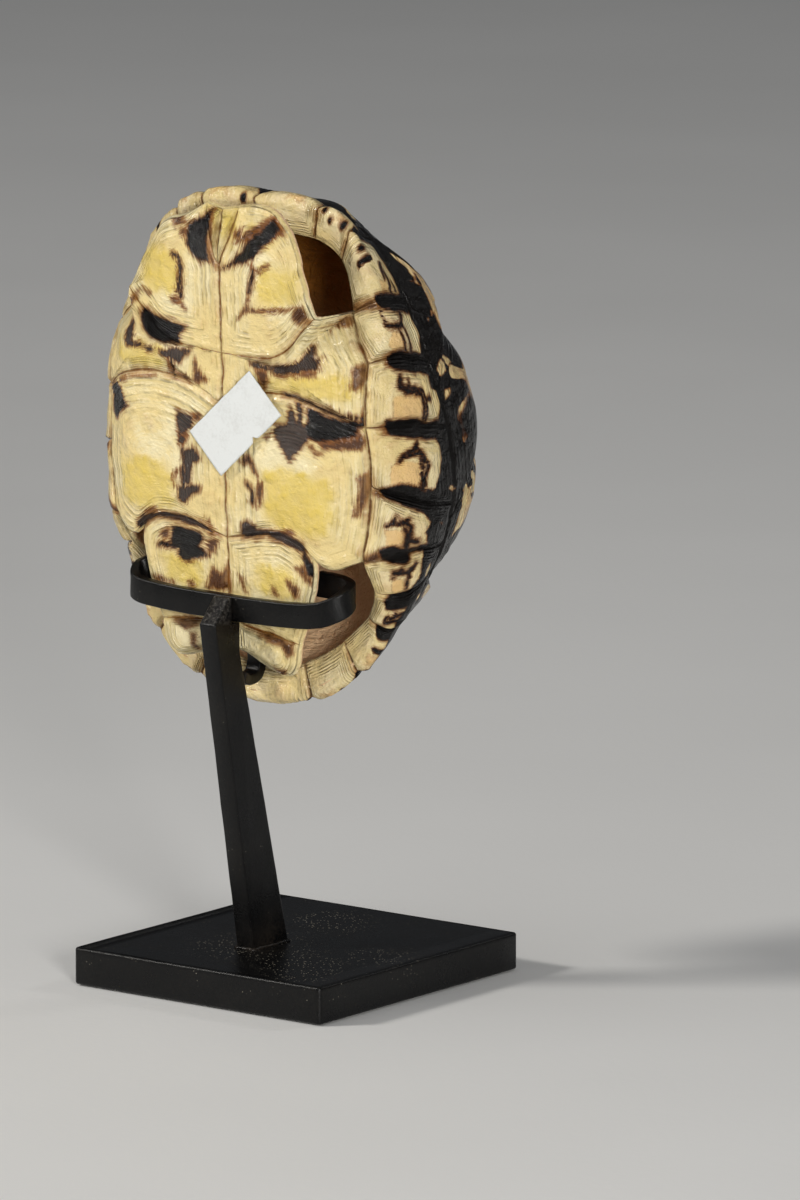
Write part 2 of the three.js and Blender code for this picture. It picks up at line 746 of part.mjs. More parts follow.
function roundedOutline(halfWide, halfDeep, radius, steps) {
  const outline = [];
  for (let corner = 0; corner < 4; corner += 1) {
    const sx = corner === 0 || corner === 3 ? 1 : -1;
    const sy = corner < 2 ? 1 : -1;
    for (let k = 0; k <= steps; k += 1) {
      const turn = ((corner + k / steps) * Math.PI) / 2;
      const x = sx * (halfWide - radius) + radius * Math.cos(turn);
      const y = sy * (halfDeep - radius) + radius * Math.sin(turn);
      outline.push([x, y]);
    }
  }
  return outline;
}

function buildPlate() {
  const levels = [
    { z: 0, inset: PLATE_EDGE },
    { z: PLATE_EDGE, inset: 0 },
    { z: PLATE_HIGH - PLATE_EDGE, inset: 0 },
    { z: PLATE_HIGH - PLATE_BEVEL, inset: PLATE_BEVEL },
    { z: PLATE_HIGH, inset: PLATE_EDGE },
  ];
  return loft(
    levels.map(({ z, inset }) => {
      const halfWide = PLATE_WIDE / 2 - inset;
      const halfDeep = PLATE_DEEP / 2 - inset;
      const outline = roundedOutline(halfWide, halfDeep, PLATE_CORNER, CORNER_STEPS);
      return outline.map(([x, y]) => [x, y, z]);
    }),
  );
}

// The post is a flat bar seen side on as an outline in Y and Z, swept sideways as it leans.
function buildPost() {
  const foot = PLATE_HIGH + GAP;
  const outline = [
    [POST_FOOT.front, foot],
    [POST_FOOT.back, foot],
    [POST_HEAD.back, POST_BACK_Z],
    [POST_HEAD.back, POST_LEDGE_Z],
    [POST_SEAT_Y, POST_LEDGE_Z],
    [POST_SEAT_Y, POST_TOP_Z],
    [POST_SEAT_Y - POST_TIP, POST_TOP_Z],
    [POST_HEAD.front, POST_KINK_Z],
  ];
  const edge = (z, side) => {
    const share = Math.min((z - foot) / (POST_KINK_Z - foot), 1);
    const middle = POST_FOOT.x + (POST_HEAD.x - POST_FOOT.x) * share;
    const width = POST_WIDE_FOOT + (POST_WIDE_TOP - POST_WIDE_FOOT) * share;
    return middle + (side * width) / 2;
  };
  const points = [-1, 1].flatMap((side) => outline.map(([y, z]) => [edge(z, side), y, z]));
  const contour = outline.map(([y, z]) => new THREE.Vector2(y, z));
  const caps = THREE.ShapeUtils.triangulateShape(contour, []);
  const count = outline.length;
  const faces = caps.flatMap(([a, b, c]) => [
    [a, c, b],
    [a + count, b + count, c + count],
  ]);
  for (let j = 0; j < count; j += 1) {
    const k = (j + 1) % count;
    faces.push([j, k, k + count]);
    faces.push([j, k + count, j + count]);
  }
  return meshOf(points, faces);
}

// Sweeps an upright rectangular bar along a smooth line that stays nearly level.
function sweptBar(line, steps, thick, high, upAxis) {
  const points = line.map((point) => new THREE.Vector3(...point));
  const curve = new THREE.CatmullRomCurve3(points, false, "centripetal");
  const outline = roundedOutline(thick / 2, high / 2, BAND_CORNER, 1);
  const sections = [];
  for (let i = 0; i <= steps; i += 1) {
    const at = curve.getPointAt(i / steps);
    const along = curve.getTangentAt(i / steps);
    const side = new THREE.Vector3().crossVectors(upAxis, along).normalize();
    const up = new THREE.Vector3().crossVectors(along, side).normalize();
    sections.push(
      outline.map(([a, b]) =>
        at.clone().addScaledVector(side, a).addScaledVector(up, b).toArray(),
      ),
    );
  }
  return loft(sections);
}

function buildBand() {
  return sweptBar(BAND_LINE, BAND_STEPS, BAND_THICK, BAND_HIGH, new THREE.Vector3(0, 0, 1));
}

function buildHook() {
  return sweptBar(HOOK_LINE, HOOK_STEPS, HOOK_THICK, HOOK_WIDE, new THREE.Vector3(1, 0, 0));
}

// ---- label -------------------------------------------------------------------------------------
function buildLabel() {
  const turn = radians(LABEL_TURN);
  const outline = [
    [-LABEL_LONG / 2, -LABEL_SHORT / 2],
    [LABEL_NICK_AT - LABEL_NICK, -LABEL_SHORT / 2],
    [LABEL_NICK_AT, -LABEL_SHORT / 2 + LABEL_NICK],
    [LABEL_NICK_AT + LABEL_NICK, -LABEL_SHORT / 2],
    [LABEL_LONG / 2, -LABEL_SHORT / 2],
    [LABEL_LONG / 2, LABEL_SHORT / 2],
    [-LABEL_LONG / 2, LABEL_SHORT / 2],
  ];
  const points = [0, LABEL_THICK].flatMap((depth) =>
    outline.map(([a, b]) => {
      const x = LABEL_CENTRE.x + a * Math.cos(turn) - b * Math.sin(turn);
      const v = LABEL_CENTRE.v + a * Math.sin(turn) + b * Math.cos(turn);
      return place([x, v, -LABEL_STAND_OFF - depth]);
    }),
  );
  const contour = outline.map(([a, b]) => new THREE.Vector2(a, b));
  const caps = THREE.ShapeUtils.triangulateShape(contour, []);
  const count = outline.length;
  const faces = caps.flatMap(([a, b, c]) => [
    [a, c, b],
    [a + count, b + count, c + count],
  ]);
  for (let j = 0; j < count; j += 1) {
    const k = (j + 1) % count;
    faces.push([j, k, k + count]);
    faces.push([j, k + count, j + count]);
  }
  return meshOf(points, faces);
}

function piece(name, geometry, key) {
  const mesh = new THREE.Mesh(geometry, material(`${name}_material`, key));
  mesh.name = name;
  return mesh;
}

const part = new THREE.Group();
part.name = "tortoise_shell_on_stand";
part.add(piece("base_plate", buildPlate(), "steel"));
part.add(piece("post", buildPost(), "steel"));
part.add(piece("cradle_band", buildBand(), "steel"));
part.add(piece("lower_hook", buildHook(), "steel"));
part.add(piece("shell", buildShell(), "shell"));
part.add(piece("paper_label", buildLabel(), "paper"));

export default part;
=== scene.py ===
"""Looks for the tortoise shell on its black bar stand: fine meshes, materials, floor, light and camera.

Shell coordinates are millimetres: x sideways, v from tail to head, u from the belly plate's plane
towards the crown. A dome point has a bearing (degrees, 0 at the head, 90 on the right) and a
reach: 0 at the crown, 1 at the rim, BAND_END at the free edge of the band folded under the rim.
"""

import collections
import itertools
import math

import bmesh
import bpy
import numpy as np
from mathutils import Matrix, Vector


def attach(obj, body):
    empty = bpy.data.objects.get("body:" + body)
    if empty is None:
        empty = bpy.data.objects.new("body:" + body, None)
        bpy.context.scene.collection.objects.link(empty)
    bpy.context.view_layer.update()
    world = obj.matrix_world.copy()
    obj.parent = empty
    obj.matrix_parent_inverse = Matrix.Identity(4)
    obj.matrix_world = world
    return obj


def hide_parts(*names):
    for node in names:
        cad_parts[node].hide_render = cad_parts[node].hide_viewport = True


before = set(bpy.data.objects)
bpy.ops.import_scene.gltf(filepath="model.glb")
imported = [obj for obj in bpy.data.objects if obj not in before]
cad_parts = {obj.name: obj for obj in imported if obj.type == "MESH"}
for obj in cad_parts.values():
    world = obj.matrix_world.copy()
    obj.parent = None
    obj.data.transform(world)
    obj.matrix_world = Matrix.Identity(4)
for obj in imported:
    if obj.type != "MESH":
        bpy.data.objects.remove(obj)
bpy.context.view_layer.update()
MM = 0.001

# ---- shell: overall form -----------------------------------------------------------------------
HALF_WIDTH = {"right": 50.0, "left": 48.0}
WIDEST_V = -9.0
HEAD_REACH = 75.8
TAIL_REACH = 60.0
HEAD_ROUND = 2.3
TAIL_ROUND = 2.25
DOME_HIGH = 74.0
CROWN_FORWARD = 5.1
HEAD_SLOPE = 0.37
TAIL_SLOPE = 0.6
RIM_SIDE_U = 20.0
RIM_HEAD_DROP = 4.5
RIM_TAIL_DROP = 10.0
BAND_IN = 0.17
BAND_DOWN = 15.2
LIP_IN = 9.5
LIP_UP = 1.5
BAND_END = 1.25
BRIDGE_X = 28.0
BRIDGE_MIN_X = 40.0
BRIDGE_U = 4.8
FLARE = {
    "right": {"at": 19.0, "spread": 11.0, "out": 3.2, "up": 3.6},
    "left": {"at": 27.0, "spread": 17.0, "out": 2.2, "up": 2.0},
}
FLARE_START = 0.72
HEAD_LIP = (0.55, 0.95)
TAIL_LIP = (0.25, 0.75)
GULAR_LIFT = {"high": 2.4, "from_v": 54, "to_v": 70, "from_x": 6, "to_x": 16}
LEAN = math.radians(6.0)
ROLL = math.radians(2.7)
SHELL_AT = np.array([-0.3, -30.0, 144.0])
SHELL_HEART = np.array([0.0, -9.0, 26.0])
WALL = 2.8

# ---- shell: seams between scutes ----------------------------------------------------------------
# Each marginal seam's bearing where it meets the costals, crosses the rim and ends at the free
# edge or the bridge, and the reach at which it ends.
MARGINAL_SEAMS = [
    (0, 0, 0, 1.25),
    (14, 14, 14, 1.25),
    (22, 22, 22, 1.25),
    (38, 36, 33, 1.23),
    (53, 49, 47, 1.13),
    (72, 67, 62.5, 1.19),
    (97, 91, 81.5, 1.2),
    (109, 104.5, 108.5, 1.23),
    (116, 118, 120, 1.18),
    (127, 130, 132, 1.2),
    (145, 145, 145, 1.25),
    (162, 162, 162, 1.25),
]
AXILLA = 3
BRIDGE_MIDDLE = 5
GROIN = 7
LAST = 11
COSTAL_SEAMS = [17, 61, 102, 121, 152]
# Reach of the seam above the marginals, and of a marginal's growth centre.
MARGINAL_TOP = {"side": 0.82, "head_drop": 0.09, "tail_drop": 0.07}
MARGINAL_HUB = {"along": 0.66, "ends": 0.98, "sides": 1.09}
VERTEBRAL_CORNERS = [(13, 38), (14, 10), (13, -18), (10, -42)]
VERTEBRAL_ELBOWS = [(20, 24), (20.5, -4), (17, -31)]
CROSS_BOW = 1.5
MIDLINE_V = [52.2, 28.2, 14.6, -21.8, -43.6]
GULAR_FRONT_V = 66.4
NOTCH_V = -51.6
GULAR_SIDE = [(2.9, 59.5)]
HUMERAL_PECTORAL = [(7, 28.3), (14.5, 28.4), (20.4, 31), (25, 35.8), (28.4, 39.4)]
PECTORAL_ABDOMINAL = [(6.7, 18), (15.6, 19.9), (21.5, 20.4), (31, 19), (37, 16.4)]
PECTORAL_HUB = {"right": (22, 27), "left": (25.5, 28)}
ABDOMINAL_FEMORAL = [(7, -20.2), (14.4, -18.4), (20.5, -18.6), (25.6, -20.8)]
FEMORAL_ANAL = [(6, -45.2), (11.3, -46), (17, -46.8)]
GULAR_TIP = (5.2, 67.6)
HEAD_LOBE = {
    "right": [(16.5, 69.8), (20.8, 67), (23.4, 62.2), (25.6, 57.2), (26.5, 50), (28.2, 45.4)],
    "left": [(12.2, 63), (16.8, 62.4), (20, 58.6), (23.4, 53.8), (26.4, 48.2), (28, 43.6)],
}
LOBE_CORNER = (30.6, 41.6)
FEMORAL_CORNER = (27.6, -22.8)
FEMORAL_TIP = (22.4, -47.6)
GROIN_EDGE = [(30, -24.8), (33.4, -25.8), (37.4, -24.4)]
FEMORAL_EDGE = [(28.2, -27), (27, -33), (25, -40.4)]
ANAL_EDGE = [(21.6, -53), (19.6, -57), (15, -56.6), (10.8, -54.4), (6, -52.6)]

# ---- shell: relief ---------------------------------------------------------------------------------
SEAM_STEP = 0.85
SEAM_SLICES = 24
SEAM_DEEP = 0.55
SEAM_NARROW = 0.55
FREE_EDGE = {"reach": 1.2, "lower": 0.3, "gap": 3}
SEAM_WANDER = 0.28
LINING_EVERY = 3
LIP_STEPS = (0.15, 0.5, 0.85)
LIP_BULGE = 0.8
RIM_PASSES = 12
RIM_REACH = 1.8
LIP_BONE = (0.0, 0.55, 1.0)
LIP_FIELDS = {"gap": 3.0, "rho": 0.3, "dome": 0.0}
LIP_OTHERWISE = -3.0
# Span of v, from tail to head, over which the lining turns from bone to painted shade.
INSIDE_SHADE_SPAN = (-5.0, 35.0)
RELIEF = {
    "belly": {"rise": 0.6, "areola": 0.34, "rings": 44, "ridges": 10, "ridge": 0.10},
    "marginal": {"rise": 1.1, "areola": 0.40, "rings": 26, "ridges": 5, "ridge": 0.22},
    "costal": {"rise": 3.1, "areola": 0.24, "rings": 30, "ridges": 7, "ridge": 0.28},
    "vertebral": {"rise": 3.3, "areola": 0.26, "rings": 26, "ridges": 6, "ridge": 0.28},
}


# ---- shell: marks -----------------------------------------------------------------------------------
# Outlines of the belly's marks, picked in close-ups of the photo; a line is drawn open, with some
# width. Each outline has its close-up, the height u of the horn there and its pixels in the close-up.
# A close-up has the photo's pixel at its upper left corner and how many times it is enlarged.
CLOSE_UPS = {
    "left_head": (100, 180, 8),
    "right_head": (210, 180, 8),
    "left_chest": (100, 300, 7),
    "right_chest": (210, 300, 7),
    "left_belly": (100, 400, 7),
    "right_belly": (210, 430, 7),
    "tail_end": (130, 540, 7),
}
BLACK_PATCHES = [
    ("left_head", 0.5, [(705, 350), (775, 312), (840, 280), (885, 222), (868, 330), (862, 480),
        (880, 640), (820, 655), (750, 580), (712, 500)]),
    ("left_head", 0, [(345, 1000), (430, 1060), (490, 1090), (600, 1140), (690, 1175), (640, 1235),
        (640, 1310), (520, 1300), (430, 1250), (370, 1185), (345, 1080)]),
    ("right_head", 0, [(85, 712), (150, 672), (250, 575), (300, 490), (400, 420), (520, 300), (560, 400),
        (470, 500), (400, 560), (340, 635), (250, 662), (150, 700)]),
    ("left_chest", 3, [(80, 590), (140, 560), (190, 600), (215, 690), (240, 710), (170, 770), (125, 820),
        (95, 780), (85, 680)]),
    ("left_belly", 0, [(505, 885), (560, 880), (640, 905), (720, 930), (730, 980), (700, 1020),
        (770, 1080), (700, 1100), (600, 1120), (560, 1080), (560, 1030), (410, 1015), (430, 985),
        (510, 990)]),
    ("right_chest", 4.5, [(1000, 840), (1060, 850), (1100, 820), (1110, 860), (1080, 905), (1020, 880)]),
    ("right_chest", 2.5, [(745, 735), (800, 760), (880, 810), (960, 850), (1015, 880), (1000, 960),
        (930, 975), (860, 970), (780, 965), (720, 930), (705, 870), (740, 820)]),
    ("right_belly", 0, [(660, 850), (700, 930), (760, 980), (800, 1010), (860, 1020), (800, 1060),
        (740, 1040), (690, 1020), (665, 960), (655, 900)]),
]
GREY_PATCHES = [
    ("left_head", 0, [(240, 1140), (268, 1130), (270, 1290), (330, 1300), (340, 1330), (240, 1320),
        (205, 1280), (215, 1210)]),
    ("left_head", 0, [(370, 1330), (425, 1335), (420, 1362), (375, 1360)]),
    ("right_head", 1.5, [(930, 1140), (1000, 1120), (1035, 1140), (1040, 1200), (1170, 1370),
        (1160, 1400), (1090, 1340), (1030, 1270), (1010, 1210), (930, 1180)]),
    ("left_chest", 0, [(420, 350), (520, 345), (640, 340), (600, 380), (560, 440), (530, 420), (520, 400),
        (430, 375)]),
    ("left_chest", 0, [(545, 780), (600, 790), (650, 810), (650, 880), (600, 920), (560, 940), (552, 860)]),
    ("left_belly", 0, [(560, 240), (610, 250), (600, 300), (560, 290)]),
    ("left_belly", 0, [(590, 360), (660, 340), (700, 400), (650, 450), (640, 520), (630, 580), (580, 570),
        (600, 470)]),
    ("left_belly", 0, [(560, 610), (620, 600), (700, 600), (690, 630), (650, 660), (620, 690), (590, 710),
        (565, 680)]),
    ("left_belly", 0, [(260, 850), (300, 800), (380, 790), (470, 785), (560, 810), (640, 830), (720, 860),
        (800, 930), (700, 890), (600, 855), (500, 830), (400, 815), (330, 850), (300, 910), (270, 900)]),
    ("right_chest", 0, [(275, 425), (340, 430), (385, 455), (440, 470), (510, 450), (560, 460),
        (610, 440), (640, 430), (690, 345), (715, 430), (745, 425), (745, 490), (640, 495), (560, 510),
        (480, 515), (430, 490), (380, 480), (320, 465)]),
    ("right_chest", 0, [(465, 880), (545, 870), (555, 790), (575, 740), (590, 800), (610, 870),
        (630, 700), (650, 740), (650, 860), (690, 910), (700, 950), (660, 1020), (600, 1090), (575, 1130),
        (550, 1090), (500, 1010), (450, 920)]),
    ("right_belly", 0, [(225, 660), (270, 640), (320, 670), (330, 700), (400, 700), (480, 710),
        (540, 735), (600, 765), (650, 790), (670, 850), (630, 850), (560, 810), (480, 770), (400, 740),
        (330, 750), (230, 750)]),
]
BROWN_PATCHES = [
    ("left_head", 0.5, [(568, 290), (650, 270), (690, 345), (610, 375)]),
    ("left_head", 0.5, [(648, 385), (705, 372), (708, 450), (660, 440)]),
    ("left_head", 0.5, [(862, 270), (890, 235), (905, 420), (905, 560), (945, 690), (890, 650), (866, 520)]),
    ("left_head", 0, [(570, 930), (640, 925), (700, 1035), (690, 1060), (640, 985), (590, 975)]),
    ("left_head", 0, [(345, 845), (415, 890), (405, 920), (360, 880)]),
    ("left_head", 0, [(245, 940), (320, 880), (300, 960), (240, 1000), (175, 1080), (190, 1010)]),
    ("right_head", 0, [(190, 510), (290, 410), (400, 345), (520, 285), (545, 300), (600, 440), (540, 455),
        (430, 480), (340, 560), (340, 520), (280, 500)]),
    ("right_head", 0.5, [(195, 420), (250, 385), (250, 470), (200, 470)]),
    ("right_head", 0, [(300, 670), (345, 690), (400, 712), (470, 672), (485, 690), (430, 725), (385, 745),
        (350, 725)]),
    ("right_head", 0, [(318, 905), (340, 955), (310, 1000), (330, 1020), (400, 1030), (400, 1060),
        (330, 1055), (270, 1080), (225, 1110), (290, 1010)]),
    ("right_head", 0, [(400, 1035), (480, 1030), (600, 1030), (690, 1010), (690, 1030), (600, 1055),
        (480, 1060), (400, 1060)]),
    ("right_head", 0, [(690, 1010), (740, 1020), (800, 1140), (720, 1160), (660, 1120), (670, 1060)]),
    ("right_head", 1.5, [(850, 1200), (930, 1150), (1000, 1200), (1020, 1270), (930, 1240), (860, 1250)]),
    ("left_chest", 0, [(480, 380), (500, 400), (515, 510), (480, 500)]),
    ("left_chest", 0, [(540, 500), (600, 520), (650, 560), (640, 580), (540, 530)]),
    ("left_chest", 0, [(660, 380), (690, 480), (720, 530), (760, 560), (700, 590), (655, 560)]),
    ("left_chest", 2, [(150, 540), (230, 512), (330, 500), (420, 495), (430, 510), (330, 520), (230, 530),
        (170, 570)]),
    ("left_chest", 0, [(555, 930), (620, 920), (620, 960), (600, 1010), (560, 1000)]),
    ("left_chest", 0, [(660, 790), (720, 790), (715, 830), (660, 850)]),
    ("left_belly", 0, [(520, 520), (550, 470), (560, 480), (530, 570), (525, 600)]),
    ("left_belly", 0, [(325, 770), (370, 740), (410, 745), (400, 790), (340, 800)]),
    ("left_belly", 0, [(750, 820), (790, 880), (850, 950), (820, 940), (760, 900)]),
    ("left_belly", 0, [(425, 920), (480, 890), (490, 960), (440, 970)]),
    ("left_belly", 0, [(750, 980), (810, 950), (840, 980), (810, 1060), (770, 1070), (750, 1020)]),
    ("left_belly", 0, [(790, 1170), (840, 1210), (890, 1180), (925, 1340), (750, 1310), (775, 1230)]),
    ("left_belly", 0, [(370, 1230), (430, 1220), (470, 1250), (530, 1260), (540, 1290), (470, 1270),
        (400, 1260)]),
    ("left_belly", 0, [(630, 1270), (665, 1260), (670, 1300), (640, 1310)]),
    ("right_chest", 0, [(440, 515), (510, 512), (600, 505), (700, 490), (740, 510), (735, 545),
        (620, 530), (570, 530), (540, 545), (480, 535)]),
    ("right_chest", 0, [(330, 470), (400, 490), (420, 530), (400, 610), (385, 640), (350, 570), (335, 510)]),
    ("right_chest", 3.5, [(965, 490), (1010, 470), (1040, 500), (1050, 540), (1040, 610), (1000, 640),
        (970, 620), (975, 560)]),
    ("right_chest", 4.5, [(1090, 490), (1110, 510), (1140, 640), (1140, 760), (1120, 830), (1095, 880),
        (1070, 900), (1030, 870), (1050, 820), (1070, 740), (1070, 640), (1080, 560)]),
    ("right_chest", 0, [(385, 960), (430, 920), (420, 950), (405, 985)]),
    ("right_chest", 3, [(720, 930), (800, 980), (840, 1030), (960, 1045), (1030, 1060), (1060, 1010),
        (1030, 930), (1020, 880), (960, 850), (900, 960)]),
    ("right_chest", 1, [(710, 1010), (740, 1000), (755, 1040), (735, 1050)]),
    ("right_chest", 1, [(745, 1060), (810, 1055), (810, 1080), (760, 1085)]),
    ("right_chest", 0, [(200, 1140), (260, 1080), (290, 1090), (330, 1180), (350, 1240), (300, 1200),
        (270, 1150)]),
    ("right_belly", 0, [(345, 370), (375, 365), (385, 420), (370, 520), (340, 550), (335, 440)]),
    ("right_belly", 4.5, [(1045, 330), (1100, 285), (1130, 370), (1110, 440), (1090, 520), (1060, 610),
        (1025, 600), (1040, 500), (1060, 420)]),
    ("right_belly", 0, [(490, 710), (570, 695), (590, 720), (570, 750), (520, 735)]),
    ("right_belly", 0, [(590, 960), (660, 950), (680, 1010), (740, 1080), (770, 1140), (700, 1080),
        (630, 1010)]),
    ("right_belly", 0, [(540, 1040), (570, 1060), (630, 1120), (630, 1170), (590, 1160), (560, 1100)]),
    ("right_belly", 0, [(440, 1090), (470, 1110), (490, 1160), (450, 1150)]),
    ("right_belly", 0, [(200, 1010), (235, 1030), (270, 1140), (245, 1130)]),
    ("tail_end", 0, [(900, 640), (980, 650), (1050, 680), (1140, 730), (1145, 800), (1110, 810),
        (1070, 740), (1000, 720), (960, 690), (920, 670)]),
    ("tail_end", 0, [(1020, 900), (1090, 910), (1085, 980), (1050, 950)]),
    ("tail_end", 0, [(300, 545), (400, 530), (480, 560), (480, 600), (400, 620), (340, 580)]),
    ("tail_end", 0, [(430, 640), (480, 650), (490, 780), (460, 760)]),
]
DARK_LINES = [
    ("left_head", 0, [(590, 580), (640, 640), (655, 700), (650, 860), (645, 945)]),
    ("left_head", 0, [(612, 600), (645, 650), (640, 800), (625, 880)]),
    ("right_head", 0, [(350, 720), (345, 790), (325, 900)]),
    ("left_chest", 0, [(500, 360), (512, 440), (520, 522)]),
    ("left_belly", 0, [(590, 345), (592, 450), (585, 540), (600, 700)]),
    ("right_chest", 1, [(540, 660), (640, 675), (730, 715), (800, 760), (900, 820), (1010, 860)]),
    ("right_belly", 0, [(275, 380), (300, 440), (300, 500)]),
]
# Middle and half sizes of each honey-yellow growth centre.
HONEY_PATCHES = [
    (19.5, 48.8, 6.5, 5.5),
    (24, -8.6, 11, 8.4),
    (28, 23.6, 12, 3),
    (14, 62, 4, 3.5),
    (-18.5, 48, 6.5, 6),
    (-26, -11, 9, 6.5),
    (-27, 24, 8, 3.4),
    (16, -31, 6, 4),
    (-15, -33, 6, 4),
    (3, 63, 2.4, 4),
    (-3, 63, 2.4, 4),
]
LINE_HALF_WIDTH = 0.42
MARK_CLIP = 2.0
# Marks of the marginals, alike on both sides and picked on the right one in the photo, in its
# pixels. Above the scallop line they are black; the rest are bands along the seams, strokes round the
# growth centres and brown ends. Only the ends of the scallop line, which the photo doesn't show, and
# the outlines that were corrected are given as bearing and reach.
TRACED = (29, 129)
SCALLOP_HEAD = [(0, 0.86), (14, 0.84), (28, 0.80)]
SCALLOP_TAIL = [(132, 0.96), (150, 0.92), (180, 0.88)]
SCALLOP = [
    (394, 280), (400, 295), (408, 312), (416, 325), (420, 334), (420, 345), (419, 354), (427, 376),
    (430, 388), (436, 392), (440, 400), (439, 410), (438, 422), (436, 442), (441, 460), (439, 470),
    (433, 485), (420, 511), (425, 515), (428, 523), (424, 531), (425, 537), (426, 545), (422, 557),
    (416, 578), (410, 586), (406, 604), (396, 620),
]
SEAM_BLACKS = [
    [(376, 297), (381, 296), (390, 297), (400, 296), (412, 298), (418, 310), (410, 310), (395, 310),
     (386, 309), (380, 305)],
    [(388, 358), (392, 355), (398, 353), (410, 354), (420, 356), (437, 355), (437, 376), (425, 372),
     (412, 370), (400, 369), (393, 368), (390, 364)],
    [(385, 422), (395, 421), (410, 420), (425, 423), (442, 422), (445, 439), (425, 437), (410, 437),
     (396, 434), (388, 431)],
    [(381, 489), (390, 487), (400, 486), (410, 488), (422, 492), (434, 491), (436, 510), (418, 508),
     (405, 504), (395, 500), (385, 496)],
    [(380, 550), (390, 548), (405, 548), (420, 546), (428, 546), (409, 551), (408, 558), (404, 561),
     (392, 561), (383, 558)],
    [(386, 600), (394, 595), (402, 591), (412, 588), (426, 578), (424, 588), (412, 600), (404, 605),
     (395, 607), (388, 606)],
]
MARGINAL_STROKES = [
    [(377, 262), (378, 270), (381, 278)],
    [(382, 274), (386, 281), (389, 288), (391, 294)],
    [(392, 284), (395, 291)],
    [(380, 312), (384, 319), (386, 327)],
    [(385, 327), (391, 328), (396, 327), (400, 325)],
    [(399, 314), (398, 325)],
    [(400, 326), (404, 334), (407, 343), (410, 353)],
    [(398, 333), (401, 341), (403, 352)],
    [(397, 377), (399, 386), (404, 389)],
    [(398, 388), (406, 389), (414, 389), (420, 390)],
    [(402, 392), (412, 393), (419, 394)],
    [(419, 390), (423, 398), (424, 408), (424, 420)],
    [(420, 396), (421, 408), (421, 420)],
    [(425, 400), (428, 397)],
    [(408, 380), (408, 388)],
    [(398, 461), (401, 457), (408, 454), (418, 453)],
    [(400, 455), (408, 451), (416, 449)],
    [(420, 450), (424, 460), (426, 466), (424, 476), (422, 489)],
    [(419, 455), (421, 466), (420, 478), (419, 488)],
    [(410, 450), (416, 444)],
    [(387, 524), (391, 522), (397, 523), (404, 523)],
    [(391, 521), (393, 516)],
    [(400, 521), (406, 518)],
    [(404, 523), (409, 526), (409, 534), (407, 541), (404, 549)],
    [(408, 541), (415, 541)],
    [(404, 528), (405, 538), (403, 548)],
    [(391, 576), (393, 571), (399, 572), (406, 571), (411, 568)],
    [(398, 571), (401, 568)],
    [(407, 569), (414, 563)],
    [(407, 572), (406, 579), (403, 586)],
    [(385, 621), (388, 615), (392, 618), (396, 613)],
    [(392, 618), (397, 615), (403, 611)],
    [(387, 622), (393, 621), (398, 618)],
]
MARGINAL_HONEYS = [
    [(377, 281), (384, 281), (388, 293), (380, 295)],
    [(388, 333), (398, 333), (403, 352), (391, 355), (387, 345)],
    [(392, 395), (418, 395), (419, 418), (392, 418)],
    [(390, 465), (400, 461), (418, 461), (419, 485), (400, 487), (388, 487)],
    [(383, 530), (395, 529), (404, 532), (404, 547), (385, 549)],
    [(390, 579), (402, 578), (403, 585), (396, 591), (390, 592)],
]
MARGINAL_BROWNS = [
    [(352, 306), (362, 303), (372, 299), (377, 301), (379, 306), (372, 310), (362, 309), (354, 312)],
    [(380, 425), (388, 423), (389, 433), (382, 434)],
    [(371, 491), (383, 489), (386, 498), (374, 497)],
    [(361, 558), (372, 553), (381, 550), (383, 557), (370, 562), (363, 565)],
]
CORRECTED_BROWNS = [
    [(47.5, 1.07), (47.5, 1.03), (51, 1.03), (50, 1.07)],
]
# Pale flecks in the black near the costals' lower edges.
FLECKS = [
    [(437, 342), (442, 342), (443, 349), (438, 351)],
    [(438, 360), (443, 361), (446, 371), (441, 377), (436, 371)],
    [(444, 390), (449, 389), (449, 396), (444, 400)],
    [(438, 522), (443, 523), (442, 525), (438, 524)],
    [(422, 577), (424, 568), (430, 562), (430, 568), (425, 577)],
    [(413, 601), (417, 593), (420, 592), (417, 600)],
]
CORRECTED_FLECKS = [
    [(32, 0.66), (34, 0.61), (35.5, 0.54), (40.5, 0.5), (46, 0.48), (47.5, 0.5), (45.5, 0.53),
     (41.5, 0.56), (39, 0.61), (36, 0.66)],
    [(52, 0.71), (54, 0.64), (56, 0.63), (57, 0.67), (54, 0.69)],
    [(59.5, 0.54), (64, 0.51), (69.5, 0.5), (78, 0.51), (85.5, 0.55), (82, 0.58), (76.5, 0.55),
     (69, 0.54), (63, 0.55)],
    [(94, 0.7), (101, 0.63), (106, 0.64), (107, 0.68), (111.5, 0.71), (111.5, 0.73), (103, 0.72),
     (98, 0.71)],
    [(90, 0.85), (93, 0.8), (93.5, 0.83), (90.5, 0.87)],
]
# The dome places that a pixel is looked up among: steps in bearing and reach, the least reach, and
# the pixels within which a place counts as near the pixel, and as near the frontmost one.
LOOK_UP = {"bearing": 0.5, "reach": 0.01, "from": 0.3, "near": 3.0}
# Where a marginal's lower facet begins, by bearing.
FACET = ([0, 43, 58, 78, 100, 130, 180], [1.03, 1.03, 1.06, 1.1, 1.15, 1.12, 1.1])
PLAIN_ENDS = 0.11
REACH_MM = 75.0
BEARING_MM = 0.87
# Bearing, reach and size in millimetres of single dark spots on the front marginals.
SPOTS = [(15.5, 0.99, 1.6), (17.5, 1.04, 1.3), (20.5, 1.0, 1.8), (-2.5, 1.02, 2.2), (26, 0.97, 1.7)]

